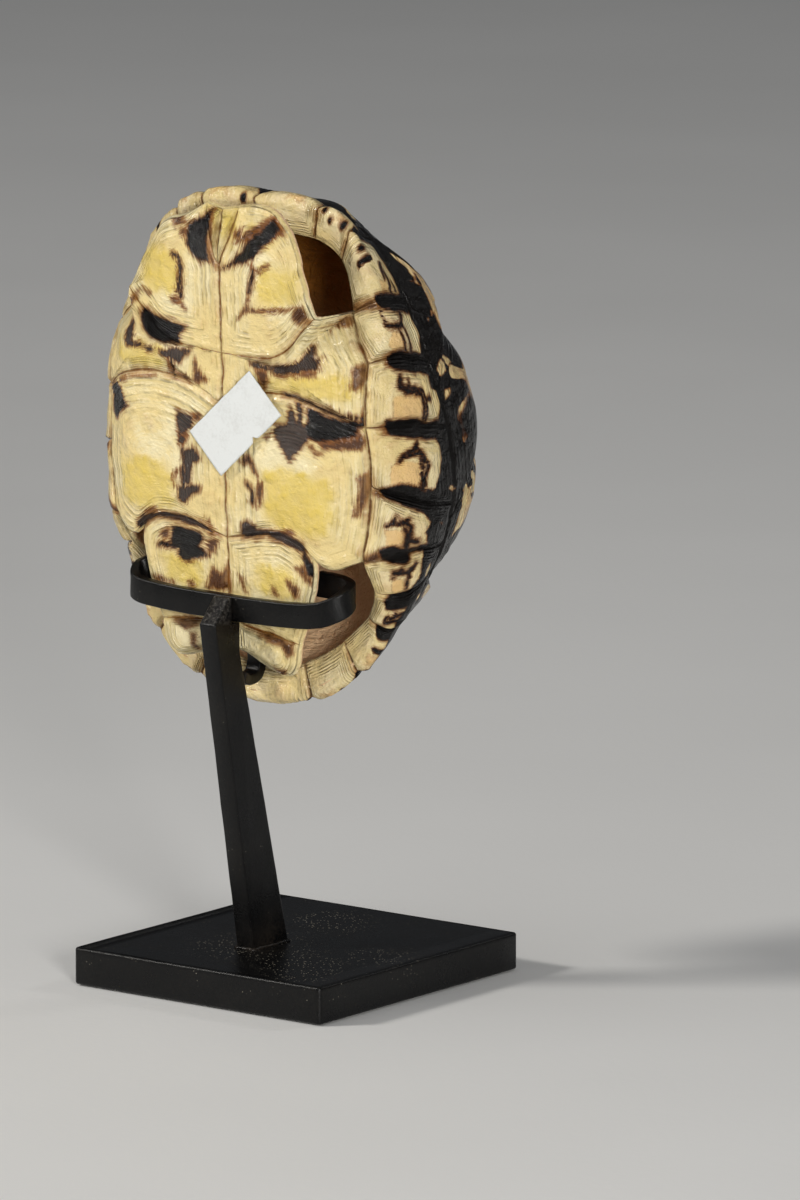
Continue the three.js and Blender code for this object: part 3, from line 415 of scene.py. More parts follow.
# ---- stand and tag ------------------------------------------------------------------------------------
PLATE = {"wide": 82.2, "deep": 86.1, "thick": 10.0, "corner": 1.2, "edge": 0.7}
POST_OUTLINE = [
    (-17.8, 10.3), (-3, 10.3), (-27.2, 92), (-27.2, 100.2), (-30.6, 100.2), (-30.6, 107.2),
    (-31.6, 107.2), (-38, 100.6),
]
POST_WIDTH = {"foot": 5.7, "kink": 5.3, "foot_x": -3.25, "kink_x": 0.0, "kink_z": 92.0}
BAND_LINE = [
    (-22, -20.4, 111.4), (-28.5, -20.2, 110.8), (-33.2, -22.8, 109), (-32, -27.4, 106.2),
    (-25, -28.8, 104.9), (-6, -28.8, 104.2), (7, -28.8, 104), (22, -28.8, 104.4),
    (31, -28.4, 105.6), (35.4, -25.8, 108.2), (34.8, -21.6, 110.2), (29.4, -19.8, 111.2),
    (23, -20, 111.6),
]
BAND_BAR = {"wide": 6.7, "thick": 2.8, "corner": 0.5}
HOOK_LINE = [
    (-0.8, -23.7, 84.9), (-1.4, -20.5, 83.4), (-1.6, -16, 84.2), (-1.6, -14.6, 88.6),
    (-1.6, -15.2, 92.6),
]
HOOK_BAR = {"wide": 4.6, "thick": 3.0, "corner": 0.5}
LABEL = {"long": 28.2, "short": 14.6, "x": 5.3, "v": 10.4, "turn": math.radians(43.7), "off": 1.55}
LABEL_THICK = 0.3
NICK = {"at": 2.2, "half": 0.8, "deep": 1.3}
BAR_ENDS = [(0.02, 0), (0.55, 0), (0.86, 0.06), (0.97, 0.25)]
# Middle and spread of each weld and of each dusty spot.
WELDS = [(-3.2, -10.4, 10.3, 6.5), (-0.2, -32.5, 101.5, 3.4), (-0.4, -23.6, 85.6, 2.6)]
DUSTY = [(-3.2, -13, 10, 15), (20, -24, 10, 10), (31, -4, 10, 9), (-6, 24, 10, 11), (27, -33, 10, 8)]
SCUFF = {"z": (100.6, 101.8), "y": (-31.0, -31.9)}
WELD_RING = {"centre": (-3.25, -10.4, 10.15), "half_x": 2.95, "half_y": 7.5, "radius": 0.55}

# ---- colours and growth lines ---------------------------------------------------------------------
CREAM = (0.76, 0.60, 0.27)
IVORY = (0.83, 0.73, 0.45)
HONEY = (0.70, 0.52, 0.10)
AMBER = (0.78, 0.47, 0.16)
PEACH = (0.80, 0.57, 0.29)
SEAM_TINT = (0.52, 0.28, 0.10)
RUST = (0.22, 0.075, 0.012)
UMBER = (0.055, 0.016, 0.004)
BLACK_HORN = (0.005, 0.004, 0.0035)
GREY_HORN = (0.085, 0.058, 0.045)
SEAM_BROWN = (0.30, 0.15, 0.035)
STRAW = (0.56, 0.42, 0.13)
FRECKLE = (0.42, 0.19, 0.045)
BONE = (0.92, 0.63, 0.37)
OLD_BONE = (0.78, 0.45, 0.21)
# Painted warm shade for the lining towards the head end.
SHADED_BONE = (0.30, 0.12, 0.02)
PAINT = (0.002, 0.002, 0.0022)
WARM_PAINT = (0.006, 0.0055, 0.005)
RUBBED_PAINT = (0.05, 0.047, 0.044)
BURNT_PAINT = (0.04, 0.03, 0.022)
SCUFFED_PAINT = (0.13, 0.12, 0.11)
DUST = (0.42, 0.38, 0.30)
PAPER = (0.70, 0.72, 0.715)
GREY_PAPER = (0.64, 0.655, 0.645)
STAINED_PAPER = (0.54, 0.48, 0.38)
FLOOR_SHADE = (0.78, 0.78, 0.77)
FLOOR_LIGHT = (0.82, 0.82, 0.81)
SKY = (0.86, 0.89, 0.94, 1)
FINE_RINGS = 27
COARSE_RINGS = 13
BROAD_RINGS = 7
NOISE_SPREAD = 2.6
SEED_APART = 7.3
Noise = collections.namedtuple("Noise", "wide middle small fine streak")

# ---- photo, camera and light ---------------------------------------------------------------------------
# The photo's size, the place in it of the middle of the plate's top, and the scale there.
PHOTO = {"wide": 800, "high": 1200, "plate_x": 296.5, "plate_y": 939.45, "mm_per_pixel": 0.265}
CAMERA = {"azimuth": 37.34, "elevation": 10.74, "pixels_away": 12000}
FLOOR_RADIUS = 14.0
LOOK_AT = (0, -0.02, 0.13)
WORLD_STRENGTH = 0.08
LIGHTS = [
    ("key", (-1.15, -1.3, 1.15), (0.3, 0.3), 22.5, (1.0, 0.965, 0.91)),
    ("fill", (1.35, -1.2, 0.45), (0.3, 0.3), 21, (1.0, 0.98, 0.95)),
    ("back", (0.8, 1.3, 1.2), (0.4, 0.3), 2.5, (1.0, 0.99, 0.97)),
    ("sweep", (-0.5, -0.9, 3.4), (3.0, 3.0), 22, (1.0, 1.0, 1.0)),
]


def smooth(start, end, value):
    t = np.clip((value - start) / (end - start), 0, 1)
    return t * t * (3 - 2 * t)


def value_noise(points, seed):
    """Smooth random lumps, about one to a unit cell, from -1 to 1."""
    cell = np.floor(points).astype(np.int64)
    part = points - cell
    ease = part * part * (3 - 2 * part)
    total = np.zeros(len(points))
    for corner in itertools.product((0, 1), repeat=3):
        at = cell + np.array(corner)
        mixed = at[:, 0] * 73856093 ^ at[:, 1] * 19349663 ^ at[:, 2] * 83492791 ^ seed * 26544357
        mixed = (mixed ^ (mixed >> 13)) * 1274126177 & 0x7FFFFFFF
        mixed = (mixed ^ (mixed >> 11)) * 83492791 & 0x7FFFFFFF
        weight = np.prod(np.where(corner, ease, 1 - ease), axis=1)
        total += weight * (mixed / 0x3FFFFFFF - 1)
    return total


def waver(points, size, apart, seed, axes=3):
    """A smooth random shift for every point, from -1 to 1 in each direction."""
    parts = [value_noise(points / size + apart * k, seed + k) for k in range(1, axes + 1)]
    return np.stack(parts, -1)


def unit(rows):
    return rows / np.maximum(np.linalg.norm(rows, axis=-1, keepdims=True), 1e-12)


# ---- shell: base surface ---------------------------------------------------------------------------
def half_width(side):
    return np.where(np.asarray(side) < 0, HALF_WIDTH["left"], HALF_WIDTH["right"])


def plan_radius(bearing):
    across = np.abs(np.sin(np.radians(bearing)))
    along = np.cos(np.radians(bearing))
    length = np.where(along > 0, HEAD_REACH, TAIL_REACH)
    power = np.where(along > 0, HEAD_ROUND, TAIL_ROUND)
    total = (across / half_width(bearing)) ** power + (np.abs(along) / length) ** power
    return total ** (-1 / power)


def flare_at(bearing):
    """How far the front rim turns out and up beside the head."""
    right, left = FLARE["right"], FLARE["left"]
    at = np.where(bearing > 0, right["at"], left["at"])
    spread = np.where(bearing > 0, right["spread"], left["spread"])
    share = np.exp(-(((np.abs(bearing) - at) / spread) ** 2))
    out = share * np.where(bearing > 0, right["out"], left["out"])
    up = share * np.where(bearing > 0, right["up"], left["up"])
    return out, up


def dome_point(bearing, reach):
    bearing = np.asarray(bearing, float)
    reach = np.asarray(reach, float)
    bearing = (bearing + 180) % 360 - 180
    along = np.cos(np.radians(bearing))
    flare_out, flare_up = flare_at(bearing)
    grown = smooth(FLARE_START, 1, reach)
    radius = plan_radius(bearing) + flare_out * grown
    rim = RIM_SIDE_U - RIM_HEAD_DROP * smooth(0.3, 1, along) - RIM_TAIL_DROP * smooth(0.1, 1, -along)
    rim = rim + flare_up * grown
    turn = np.minimum(reach, 1) * math.pi / 2
    power = 1 + HEAD_SLOPE * smooth(0, 1, along) + TAIL_SLOPE * smooth(0, 1, -along)
    out = radius * np.sin(turn)
    up = rim + (DOME_HIGH - rim) * np.maximum(np.cos(turn), 0) ** power
    fold = np.maximum(reach - 1, 0) / (BAND_END - 1)
    lip = np.where(along > 0, smooth(*HEAD_LIP, along), smooth(*TAIL_LIP, -along))
    quarter = np.minimum(fold, 1) * math.pi / 2
    bridge_out = radius * (1 - BAND_IN * fold**1.5)
    bridge_up = rim - BAND_DOWN * np.sin(quarter)
    folded = reach > 1
    out = np.where(folded, (1 - lip) * bridge_out + lip * (radius - LIP_IN * fold), out)
    up = np.where(folded, (1 - lip) * bridge_up + lip * (rim + LIP_UP * fold), up)
    forward = np.where(folded, 0, CROWN_FORWARD * np.cos(turn))
    return np.stack([out * np.sin(np.radians(bearing)), WIDEST_V + forward + out * along, up], -1)


def bridge_line_x(v, side):
    along = v - WIDEST_V
    length = np.where(along > 0, HEAD_REACH, TAIL_REACH)
    power = np.where(along > 0, HEAD_ROUND, TAIL_ROUND)
    share = np.minimum(np.abs(along) / (length * (1 - BAND_IN)), 1) ** power
    x = half_width(side) * (1 - BAND_IN) * (1 - share) ** (1 / power)
    return np.maximum(x, BRIDGE_MIN_X)


def belly_point(x, v):
    share = np.maximum(np.abs(x) - BRIDGE_X, 0) / (bridge_line_x(v, x) - BRIDGE_X)
    lift = GULAR_LIFT["high"] * smooth(GULAR_LIFT["from_v"], GULAR_LIFT["to_v"], v)
    lift = lift * (1 - smooth(GULAR_LIFT["from_x"], GULAR_LIFT["to_x"], np.abs(x)))
    return np.stack([x, v, BRIDGE_U * share**2 + lift], -1)


def to_flat(chart, points):
    """Chart points in the flat layout in which a scute's growth rings are drawn."""
    points = np.asarray(points, float)
    if chart == "belly":
        return points
    turn = np.radians(points[..., 0])
    return np.stack([points[..., 1] * np.sin(turn), points[..., 1] * np.cos(turn)], -1)


def to_space(chart, flat):
    if chart == "belly":
        return belly_point(flat[..., 0], flat[..., 1])
    bearing = np.degrees(np.arctan2(flat[..., 0], flat[..., 1]))
    return dome_point(bearing, np.hypot(flat[..., 0], flat[..., 1]))


def dome_over(x, v):
    """Bearing and reach of the dome point that lies over plan position x, v."""
    bearing = math.degrees(math.atan2(x, v - WIDEST_V))
    share = min(math.hypot(x, v - WIDEST_V) / float(plan_radius(bearing)), 1)
    return (bearing, math.asin(share) * 2 / math.pi)


def marginal_top(bearing):
    along = math.cos(math.radians(bearing))
    head = MARGINAL_TOP["head_drop"] * smooth(0.5, 1, along)
    tail = MARGINAL_TOP["tail_drop"] * smooth(0.4, 1, -along)
    return float(MARGINAL_TOP["side"] - head - tail)


def hub_reach(bearing):
    side = np.sin(np.radians(bearing)) ** 4
    return MARGINAL_HUB["ends"] + (MARGINAL_HUB["sides"] - MARGINAL_HUB["ends"]) * side


def shell_axes():
    """The directions x, v and u in the row frame."""
    along = np.array([0, -math.sin(LEAN), math.cos(LEAN)])
    back = np.array([0, math.cos(LEAN), math.sin(LEAN)])
    across = np.array([1.0, 0, 0])
    x_axis = across * math.cos(ROLL) - along * math.sin(ROLL)
    v_axis = along * math.cos(ROLL) + across * math.sin(ROLL)
    return np.array([x_axis, v_axis, back])


def place(points):
    """Shell coordinates to the row frame, in millimetres."""
    x_axis, v_axis, back = shell_axes()
    points = np.asarray(points, float)
    return SHELL_AT + points[..., :1] * x_axis + points[..., 1:2] * v_axis + points[..., 2:] * back


# ---- from the photo's pixels to the shell ----------------------------------------------------------
def camera_axes():
    """The photo camera's directions right, up and back, in the row frame."""
    azimuth, elevation = math.radians(CAMERA["azimuth"]), math.radians(CAMERA["elevation"])
    level = np.array([math.sin(azimuth), -math.cos(azimuth), 0])
    back = level * math.cos(elevation) + np.array([0, 0, math.sin(elevation)])
    right = np.array([math.cos(azimuth), math.sin(azimuth), 0])
    return np.array([right, np.cross(back, right), back])


def camera_spot():
    """The photo camera's place in the row frame, in millimetres."""
    offset = (PHOTO["wide"] / 2 - PHOTO["plate_x"], PHOTO["plate_y"] - PHOTO["high"] / 2)
    spot = np.array([*offset, CAMERA["pixels_away"]]) @ camera_axes()
    return spot * PHOTO["mm_per_pixel"] + np.array([0, 0, PLATE["thick"]])


def on_belly(close_up, height, pixels):
    """Belly places x, v of a close-up's pixels, where the horn is at that height u."""
    left, top, enlarged = CLOSE_UPS[close_up]
    x, y = np.array([left, top])[:, None] + np.array(pixels).T / enlarged
    far = np.full(len(x), -CAMERA["pixels_away"])
    rays = np.stack([x - PHOTO["wide"] / 2, PHOTO["high"] / 2 - y, far], -1) @ camera_axes()
    rays = rays @ shell_axes().T
    start = shell_axes() @ (camera_spot() - SHELL_AT)
    length = (height - start[2]) / rays[:, 2:]
    return start[:2] + length * rays[:, :2]


def dome_pixels():
    """Bearing, reach, photo pixel and nearness in pixels of the places on the dome's right side."""
    bearing = np.arange(0, 180 + LOOK_UP["bearing"], LOOK_UP["bearing"])
    reach = np.arange(LOOK_UP["from"], BAND_END + LOOK_UP["reach"] / 2, LOOK_UP["reach"])
    bearing, reach = (grid.ravel() for grid in np.meshgrid(bearing, reach, indexing="ij"))
    away = (place(dome_point(bearing, reach)) - camera_spot()) / PHOTO["mm_per_pixel"]
    right, up, back = camera_axes() @ away.T
    scale = CAMERA["pixels_away"] / -back
    x, y = PHOTO["wide"] / 2 + right * scale, PHOTO["high"] / 2 - up * scale
    return np.stack([bearing, reach, x, y, back], -1)


def on_dome(pixels, dome):
    """Bearing and reach of photo pixels, from the dome place that shows nearest to each."""
    found = []
    for x, y in pixels:
        apart = np.hypot(dome[:, 2] - x, dome[:, 3] - y)
        near = np.flatnonzero(apart < max(LOOK_UP["near"], apart.min() + 1e-9))
        near = near[dome[near, 4] > dome[near, 4].max() - LOOK_UP["near"]]
        found.append(dome[near[np.argmin(apart[near])], :2])
    return np.array(found)


def read_marks():
    """Every mark in the units it is painted in: x, v on the belly, chart millimetres on the dome."""
    belly = {"black": BLACK_PATCHES, "grey": GREY_PATCHES, "brown": BROWN_PATCHES, "line": DARK_LINES}
    marks = {name: [on_belly(*outline) for outline in outlines] for name, outlines in belly.items()}
    dome = dome_pixels()
    rim = {
        "seam": (SEAM_BLACKS, []),
        "stroke": (MARGINAL_STROKES, []),
        "centre": (MARGINAL_HONEYS, []),
        "end": (MARGINAL_BROWNS, CORRECTED_BROWNS),
        "fleck": (FLECKS, CORRECTED_FLECKS),
    }
    for name, (picked, corrected) in rim.items():
        outlines = [on_dome(pixels, dome) for pixels in picked] + corrected
        marks[name] = [np.array(outline) * (BEARING_MM, REACH_MM) for outline in outlines]
    marks["scallop"] = np.vstack([SCALLOP_HEAD, on_dome(SCALLOP, dome), SCALLOP_TAIL])
    return marks


# ---- shell: network of seams and scutes ---------------------------------------------------------------
class Network:
    """Nodes, the seams that join them, and the scutes that the seams enclose."""

    def __init__(self):
        self.nodes = {}
        self.seams = {}
        self.scutes = []

    def node(self, name, chart, point):
        space = to_space(chart, to_flat(chart, point))
        self.nodes[name] = {"chart": chart, "point": tuple(point), "space": space}

    def node_in(self, name, chart):
        node = self.nodes[name]
        return node["point"] if node["chart"] == chart else tuple(node["space"][:2])

    def seam(self, name, chart, start, end, via=()):
        line = np.array([self.node_in(start, chart), *via, self.node_in(end, chart)], float)
        if chart == "dome":
            line[:, 0] = np.degrees(np.unwrap(np.radians(line[:, 0])))
        at = np.linspace(0, len(line) - 1, SEAM_SLICES * (len(line) - 1) + 1)
        dense = np.stack([np.interp(at, range(len(line)), line[:, k]) for k in (0, 1)], -1)
        spaces = to_space(chart, to_flat(chart, dense))
        along = np.append(0, np.cumsum(np.linalg.norm(np.diff(spaces, axis=0), axis=1)))
        count = max(round(along[-1] / SEAM_STEP), 2)
        t = np.linspace(0, 1, count + 1)
        points = np.stack([np.interp(t * along[-1], along, dense[:, k]) for k in (0, 1)], -1)
        points = self.eased(points, count)
        space = to_space(chart, to_flat(chart, points))
        miss_start = self.nodes[start]["space"] - space[0]
        miss_end = self.nodes[end]["space"] - space[-1]
        space = space + miss_start * (1 - t[:, None]) ** 3 + miss_end * t[:, None] ** 3
        space = space + self.wander(space, t)
        keys = [start, *(f"{name}/{i}" for i in range(1, count)), end]
        self.seams[name] = {"keys": keys, "flat": to_flat(chart, points), "space": space, "users": 0}

    @staticmethod
    def eased(points, count):
        """Rounds the corners of a seam's line; its ends stay."""
        for _ in range(max(count // 8, 1) * 3):
            points[1:-1] = (points[:-2] + 2 * points[1:-1] + points[2:]) / 4
        return points

    @staticmethod
    def wander(space, t):
        """Small sideways wander, nothing at the ends."""
        fade = np.sin(np.pi * t)[:, None] ** 0.5
        return SEAM_WANDER * (waver(space, 4.5, 31, 5) + 0.35 * waver(space, 1.7, 17, 9)) * fade

    def scute(self, kind, chart, centre, borders, name):
        for border in borders:
            self.seams[border]["users"] += 1
        scute = {"kind": kind, "chart": chart, "centre": centre, "borders": borders, "name": name}
        self.scutes.append(scute)


def add_midline(net):
    net.node("top0", "dome", (0, marginal_top(0)))
    net.node("end0", "dome", (0, BAND_END))
    net.seam("fold0", "dome", "top0", "end0", [(0, 1)])
    for i, v in enumerate(MIDLINE_V):
        net.node(f"mid{i}", "belly", (0, v))
    net.node("gularFront", "belly", (0, GULAR_FRONT_V))
    net.node("notch", "belly", (0, NOTCH_V))
    net.seam("midGular", "belly", "mid0", "gularFront")
    net.seam("midHumeral", "belly", "mid0", "mid1")
    net.seam("midPectoral", "belly", "mid1", "mid2")
    net.seam("midAbdominal", "belly", "mid2", "mid3")
    net.seam("midFemoral", "belly", "mid3", "mid4")
    net.seam("midAnal", "belly", "mid4", "notch")


def add_dome_half(net, tag, side):
    tops = [seam[0] for seam in MARGINAL_SEAMS]
    stops = sorted(tops + COSTAL_SEAMS)

    def name(kind, number):
        return f"{kind}0" if number == 0 else f"{tag}{kind}{number}"

    def above(start, end):
        return [f"{tag}above{stop}" for stop in stops if start <= stop < end]

    for stop in stops[1:]:
        net.node(name("top", stop), "dome", (side * stop, marginal_top(stop)))
    for i, (_, _, end, reach) in enumerate(MARGINAL_SEAMS[1:], 1):
        net.node(name("end", i), "dome", (side * end, reach))
    for a, b in zip(stops, stops[1:]):
        net.seam(f"{tag}above{a}", "dome", name("top", a), name("top", b))
    for i in range(LAST):
        net.seam(f"{tag}below{i}", "dome", name("end", i), name("end", i + 1))
    for i, (top, rim, _, _) in enumerate(MARGINAL_SEAMS[1:], 1):
        over = [(side * rim, 1)]
        net.seam(name("fold", i), "dome", name("top", top), name("end", i), over)
    for i, (x, v) in enumerate(VERTEBRAL_CORNERS):
        net.node(f"{tag}corner{i}", "dome", dome_over(x * side, v))
    for i, (x, v) in enumerate(VERTEBRAL_ELBOWS):
        net.node(f"{tag}elbow{i}", "dome", dome_over(x * side, v))
    net.seam(f"{tag}flank0", "dome", name("top", COSTAL_SEAMS[0]), f"{tag}corner0")
    for i in range(len(VERTEBRAL_ELBOWS)):
        elbow = f"{tag}elbow{i}"
        net.seam(f"{tag}fore{i + 1}", "dome", f"{tag}corner{i}", elbow)
        net.seam(f"{tag}aft{i + 1}", "dome", elbow, f"{tag}corner{i + 1}")
        net.seam(f"{tag}rib{i + 1}", "dome", name("top", COSTAL_SEAMS[i + 1]), elbow)
    net.seam(f"{tag}flank4", "dome", f"{tag}corner3", name("top", COSTAL_SEAMS[4]))

    for i, (here, there) in enumerate(zip(MARGINAL_SEAMS, MARGINAL_SEAMS[1:])):
        borders = [*above(here[0], there[0]), f"{tag}below{i}", name("fold", i), name("fold", i + 1)]
        middle = here[1] + (there[1] - here[1]) * MARGINAL_HUB["along"]
        centre = (side * middle, hub_reach(middle))
        net.scute("marginal", "dome", centre, borders, f"{tag}marginal{i + 1}")
    costals = [
        ((33, 33), ["flank0", "fore1", "rib1"]),
        ((35, 8), ["rib1", "aft1", "fore2", "rib2"]),
        ((34, -20), ["rib2", "aft2", "fore3", "rib3"]),
        ((27, -44), ["rib3", "aft3", "flank4"]),
    ]
    for i, ((x, v), borders) in enumerate(costals):
        lower = above(COSTAL_SEAMS[i], COSTAL_SEAMS[i + 1])
        run = lower + [f"{tag}{border}" for border in borders]
        net.scute("costal", "dome", dome_over(x * side, v), run, f"{tag}costal{i + 1}")


def add_belly_half(net, tag, side):
    def flip(line):
        return [(x * side, v) for x, v in line]

    def line(name, start, end, via=()):
        net.seam(f"{tag}{name}", "belly", start, end, flip(via))

    lobe = HEAD_LOBE["right" if side > 0 else "left"]
    corners = {"lobe": LOBE_CORNER, "gular": GULAR_TIP, "femoral": FEMORAL_CORNER, "tip": FEMORAL_TIP}
    for name, point in corners.items():
        net.node(f"{tag}{name}", "belly", (point[0] * side, point[1]))
    line("gularSide", "mid0", f"{tag}gular", GULAR_SIDE)
    line("pectoralTop", "mid1", f"{tag}lobe", HUMERAL_PECTORAL)
    line("abdominalTop", "mid2", f"{tag}end{BRIDGE_MIDDLE}", PECTORAL_ABDOMINAL)
    line("femoralTop", "mid3", f"{tag}femoral", ABDOMINAL_FEMORAL)
    line("analTop", "mid4", f"{tag}tip", FEMORAL_ANAL)
    line("gularEdge", "gularFront", f"{tag}gular")
    line("humeralEdge", f"{tag}gular", f"{tag}lobe", lobe)
    line("axilla", f"{tag}lobe", f"{tag}end{AXILLA}")
    line("groin", f"{tag}femoral", f"{tag}end{GROIN}", GROIN_EDGE)
    line("femoralEdge", f"{tag}femoral", f"{tag}tip", FEMORAL_EDGE)
    line("analEdge", f"{tag}tip", "notch", ANAL_EDGE)
    plates = {
        "gular": ((2.5, 62), ["gularSide", "gularEdge"], "midGular"),
        "humeral": ((18.5, 47.5), ["gularSide", "humeralEdge", "pectoralTop"], "midHumeral"),
        "pectoral": (
            PECTORAL_HUB["right" if side > 0 else "left"],
            ["pectoralTop", "axilla", "below3", "below4", "abdominalTop"],
            "midPectoral",
        ),
        "abdominal": (
            (24, -8),
            ["abdominalTop", "below5", "below6", "groin", "femoralTop"],
            "midAbdominal",
        ),
        "femoral": ((15, -33), ["femoralTop", "femoralEdge", "analTop"], "midFemoral"),
        "anal": ((12, -50.6), ["analTop", "analEdge"], "midAnal"),
    }
    for name, ((x, v), borders, middle) in plates.items():
        run = [f"{tag}{border}" for border in borders] + [middle]
        net.scute("belly", "belly", (x * side, v), run, f"{tag}{name}")


def add_ridge_row(net):
    def both(names):
        return [tag + name for name in names for tag in ("R", "L")]

    for i, (_, v) in enumerate(VERTEBRAL_CORNERS):
        over = [dome_over(0, v + CROSS_BOW)]
        net.seam(f"cross{i}", "dome", f"Lcorner{i}", f"Rcorner{i}", over)
    top = MARGINAL_SEAMS[LAST][0]
    net.seam("tailAbove", "dome", f"Rtop{top}", f"Ltop{top}", [(180, marginal_top(180))])
    net.seam("tailBelow", "dome", f"Rend{LAST}", f"Lend{LAST}", [(180, BAND_END)])
    first = both(["above0", "above14", "flank0"]) + ["cross0"]
    net.scute("vertebral", "dome", dome_over(0, 52), first, "vertebral1")
    for i, (_, v) in enumerate(VERTEBRAL_ELBOWS):
        run = [f"cross{i}", *both([f"fore{i + 1}", f"aft{i + 1}"]), f"cross{i + 1}"]
        net.scute("vertebral", "dome", dome_over(0, v), run, f"vertebral{i + 2}")
    last = ["cross3", *both(["flank4", "above152"]), "tailAbove"]
    net.scute("vertebral", "dome", dome_over(0, -54), last, "vertebral5")
    tail = ["tailAbove", "tailBelow", *both([f"fold{LAST}"])]
    net.scute("marginal", "dome", (180, hub_reach(180)), tail, "supracaudal")


def shell_network():
    net = Network()
    add_midline(net)
    for tag, side in (("R", 1), ("L", -1)):
        add_dome_half(net, tag, side)
    add_ridge_row(net)
    for tag, side in (("R", 1), ("L", -1)):
        add_belly_half(net, tag, side)
    return net


def loop_of(net, scute):
    """The scute's border as one closed run of samples, chained from its seams."""
    left = [net.seams[name] for name in scute["borders"]]
    keys, flats, spaces, free = [], [], [], []
    seam, step = left.pop(0), 1
    start = seam["keys"][0]
    while True:
        count = len(seam["keys"]) - 1
        keys += seam["keys"][::step][:-1]
        flats.append(seam["flat"][::step][:-1])
        spaces.append(seam["space"][::step][:-1])
        free += [seam["users"] == 1] * count
        end = seam["keys"][::step][-1]
        if end == start:
            break
        pick = next(s for s in left if end in (s["keys"][0], s["keys"][-1]))
        left = [s for s in left if s is not pick]
        seam, step = pick, 1 if pick["keys"][0] == end else -1
    space = np.concatenate(spaces)
    flat = space[:, :2].copy() if scute["chart"] == "belly" else np.concatenate(flats)
    return keys, flat, space, np.array(free)


# ---- shell: fine mesh -------------------------------------------------------------------------------------
class Skin:
    """Growing list of vertices with their base place, relief and colour fields, and of faces."""

    SHOWN = ("rho", "gap", "dark", "grey", "stain", "honey", "bone", "seed", "dome")
    FIELDS = ("relief", "rim", *SHOWN)

    def __init__(self):
        self.count = 0
        self.known = {}
        self.space = []
        self.ray = []
        self.fields = {name: [] for name in self.FIELDS}
        self.faces = []

    def add(self, space, ray, **fields):
        first = self.count
        self.count += len(space)
        self.space.append(space)
        self.ray.append(ray)
        for name in self.FIELDS:
            self.fields[name].append(np.broadcast_to(fields.get(name, 0.0), len(space)))
        return np.arange(first, self.count)

    def add_keyed(self, keys, space, ray, **fields):
        """Adds only the keys not seen before, and returns every key's index."""
        fresh = [i for i, key in enumerate(keys) if key not in self.known]
        picked = {name: np.broadcast_to(value, len(space))[fresh] for name, value in fields.items()}
        for i, index in zip(fresh, self.add(space[fresh], ray[fresh], **picked)):
            self.known[keys[i]] = index
        return np.array([self.known[key] for key in keys])

    def arrays(self):
        fields = {name: np.concatenate(parts) for name, parts in self.fields.items()}
        return np.concatenate(self.space), np.concatenate(self.ray), fields


def stitch(faces, inner, outer, flip):
    """Triangles between two closed rings, each its indices and how far round each one lies."""
    (inner, inner_at), (outer, outer_at) = inner, outer
    count_in, count_out = len(inner), len(outer)
    if count_in == 1:
        made = [(inner[0], outer[j], outer[(j + 1) % count_out]) for j in range(count_out)]
    else:
        inner_at, outer_at = [*inner_at, 1.0], [*outer_at, 1.0]
        made = []
        i = j = 0
        while i < count_in or j < count_out:
            here, there = inner[i % count_in], outer[j % count_out]
            if i == count_in or (j < count_out and outer_at[j + 1] <= inner_at[i + 1]):
                made.append((here, there, outer[(j + 1) % count_out]))
                j += 1
            else:
                made.append((here, there, inner[(i + 1) % count_in]))
                i += 1
    faces += [(a, c, b) for a, b, c in made] if flip else made


def ring_counts(kind, perimeter, full):
    """How far out each growth ring lies, and how many samples it has."""
    rings = RELIEF[kind]["rings"]
    rho = np.linspace(0, 1, rings + 1)[1:]
    counts = [max(9, min(full, round(perimeter * r / SEAM_STEP))) for r in rho[:-1]]
    return rho, [*counts, full]


def ridge_line(kind, rho):
    """Growth ridges: rounded rings with sharp grooves between, from the areola out."""
    areola = RELIEF[kind]["areola"]
    phase = np.clip((rho - areola) / (1 - areola), 0, 1) * RELIEF[kind]["ridges"]
    wave = np.abs(np.sin(np.pi * phase)) ** 0.7
    return RELIEF[kind]["ridge"] * wave * smooth(areola, areola + 0.12, rho)


def seam_valley(gap):
    return SEAM_DEEP * np.exp(-((gap / SEAM_NARROW) ** 2))


def relief_of(kind, rho, gap, space):
    """Height over the base surface; gap is the distance in from the seam."""
    shape = RELIEF[kind]
    mound = shape["rise"] * (1 - smooth(shape["areola"], 1, rho))
    roll = 0.34 * np.exp(-(((gap - 1.9) / 1.3) ** 2))
    patchy = smooth(-0.6, 0.7, value_noise(space / 8, 3)) * smooth(0.35, 0.7, rho)
    ridges = ridge_line(kind, rho + 0.012 * value_noise(space / 5, 8)) * patchy
    lumps = 0.32 * value_noise(space / 6.5, 21) + 0.15 * value_noise(space / 2.6, 22)
    lumps = lumps * smooth(0, 2.5, gap)
    return mound + roll - seam_valley(gap) + ridges + lumps


def outline_distance(points, outline, closed):
    """Distance to an outline in the plane, positive inside when it is closed."""
    start = np.array(outline, float)
    end = np.roll(start, -1, axis=0)
    if not closed:
        start, end = start[:-1], end[:-1]
    nearest = np.full(len(points), np.inf)
    inside = np.zeros(len(points), bool)
    for (x0, y0), (x1, y1) in zip(start, end):
        dx, dy = x1 - x0, y1 - y0
        px, py = points[:, 0] - x0, points[:, 1] - y0
        t = np.clip((px * dx + py * dy) / (dx * dx + dy * dy), 0, 1)
        nearest = np.minimum(nearest, np.hypot(px - t * dx, py - t * dy))
        if dy:
            crosses = (y0 > points[:, 1]) != (y1 > points[:, 1])
            inside ^= crosses & (px < dx * py / dy)
    return np.where(inside, nearest, -nearest) if closed else -nearest


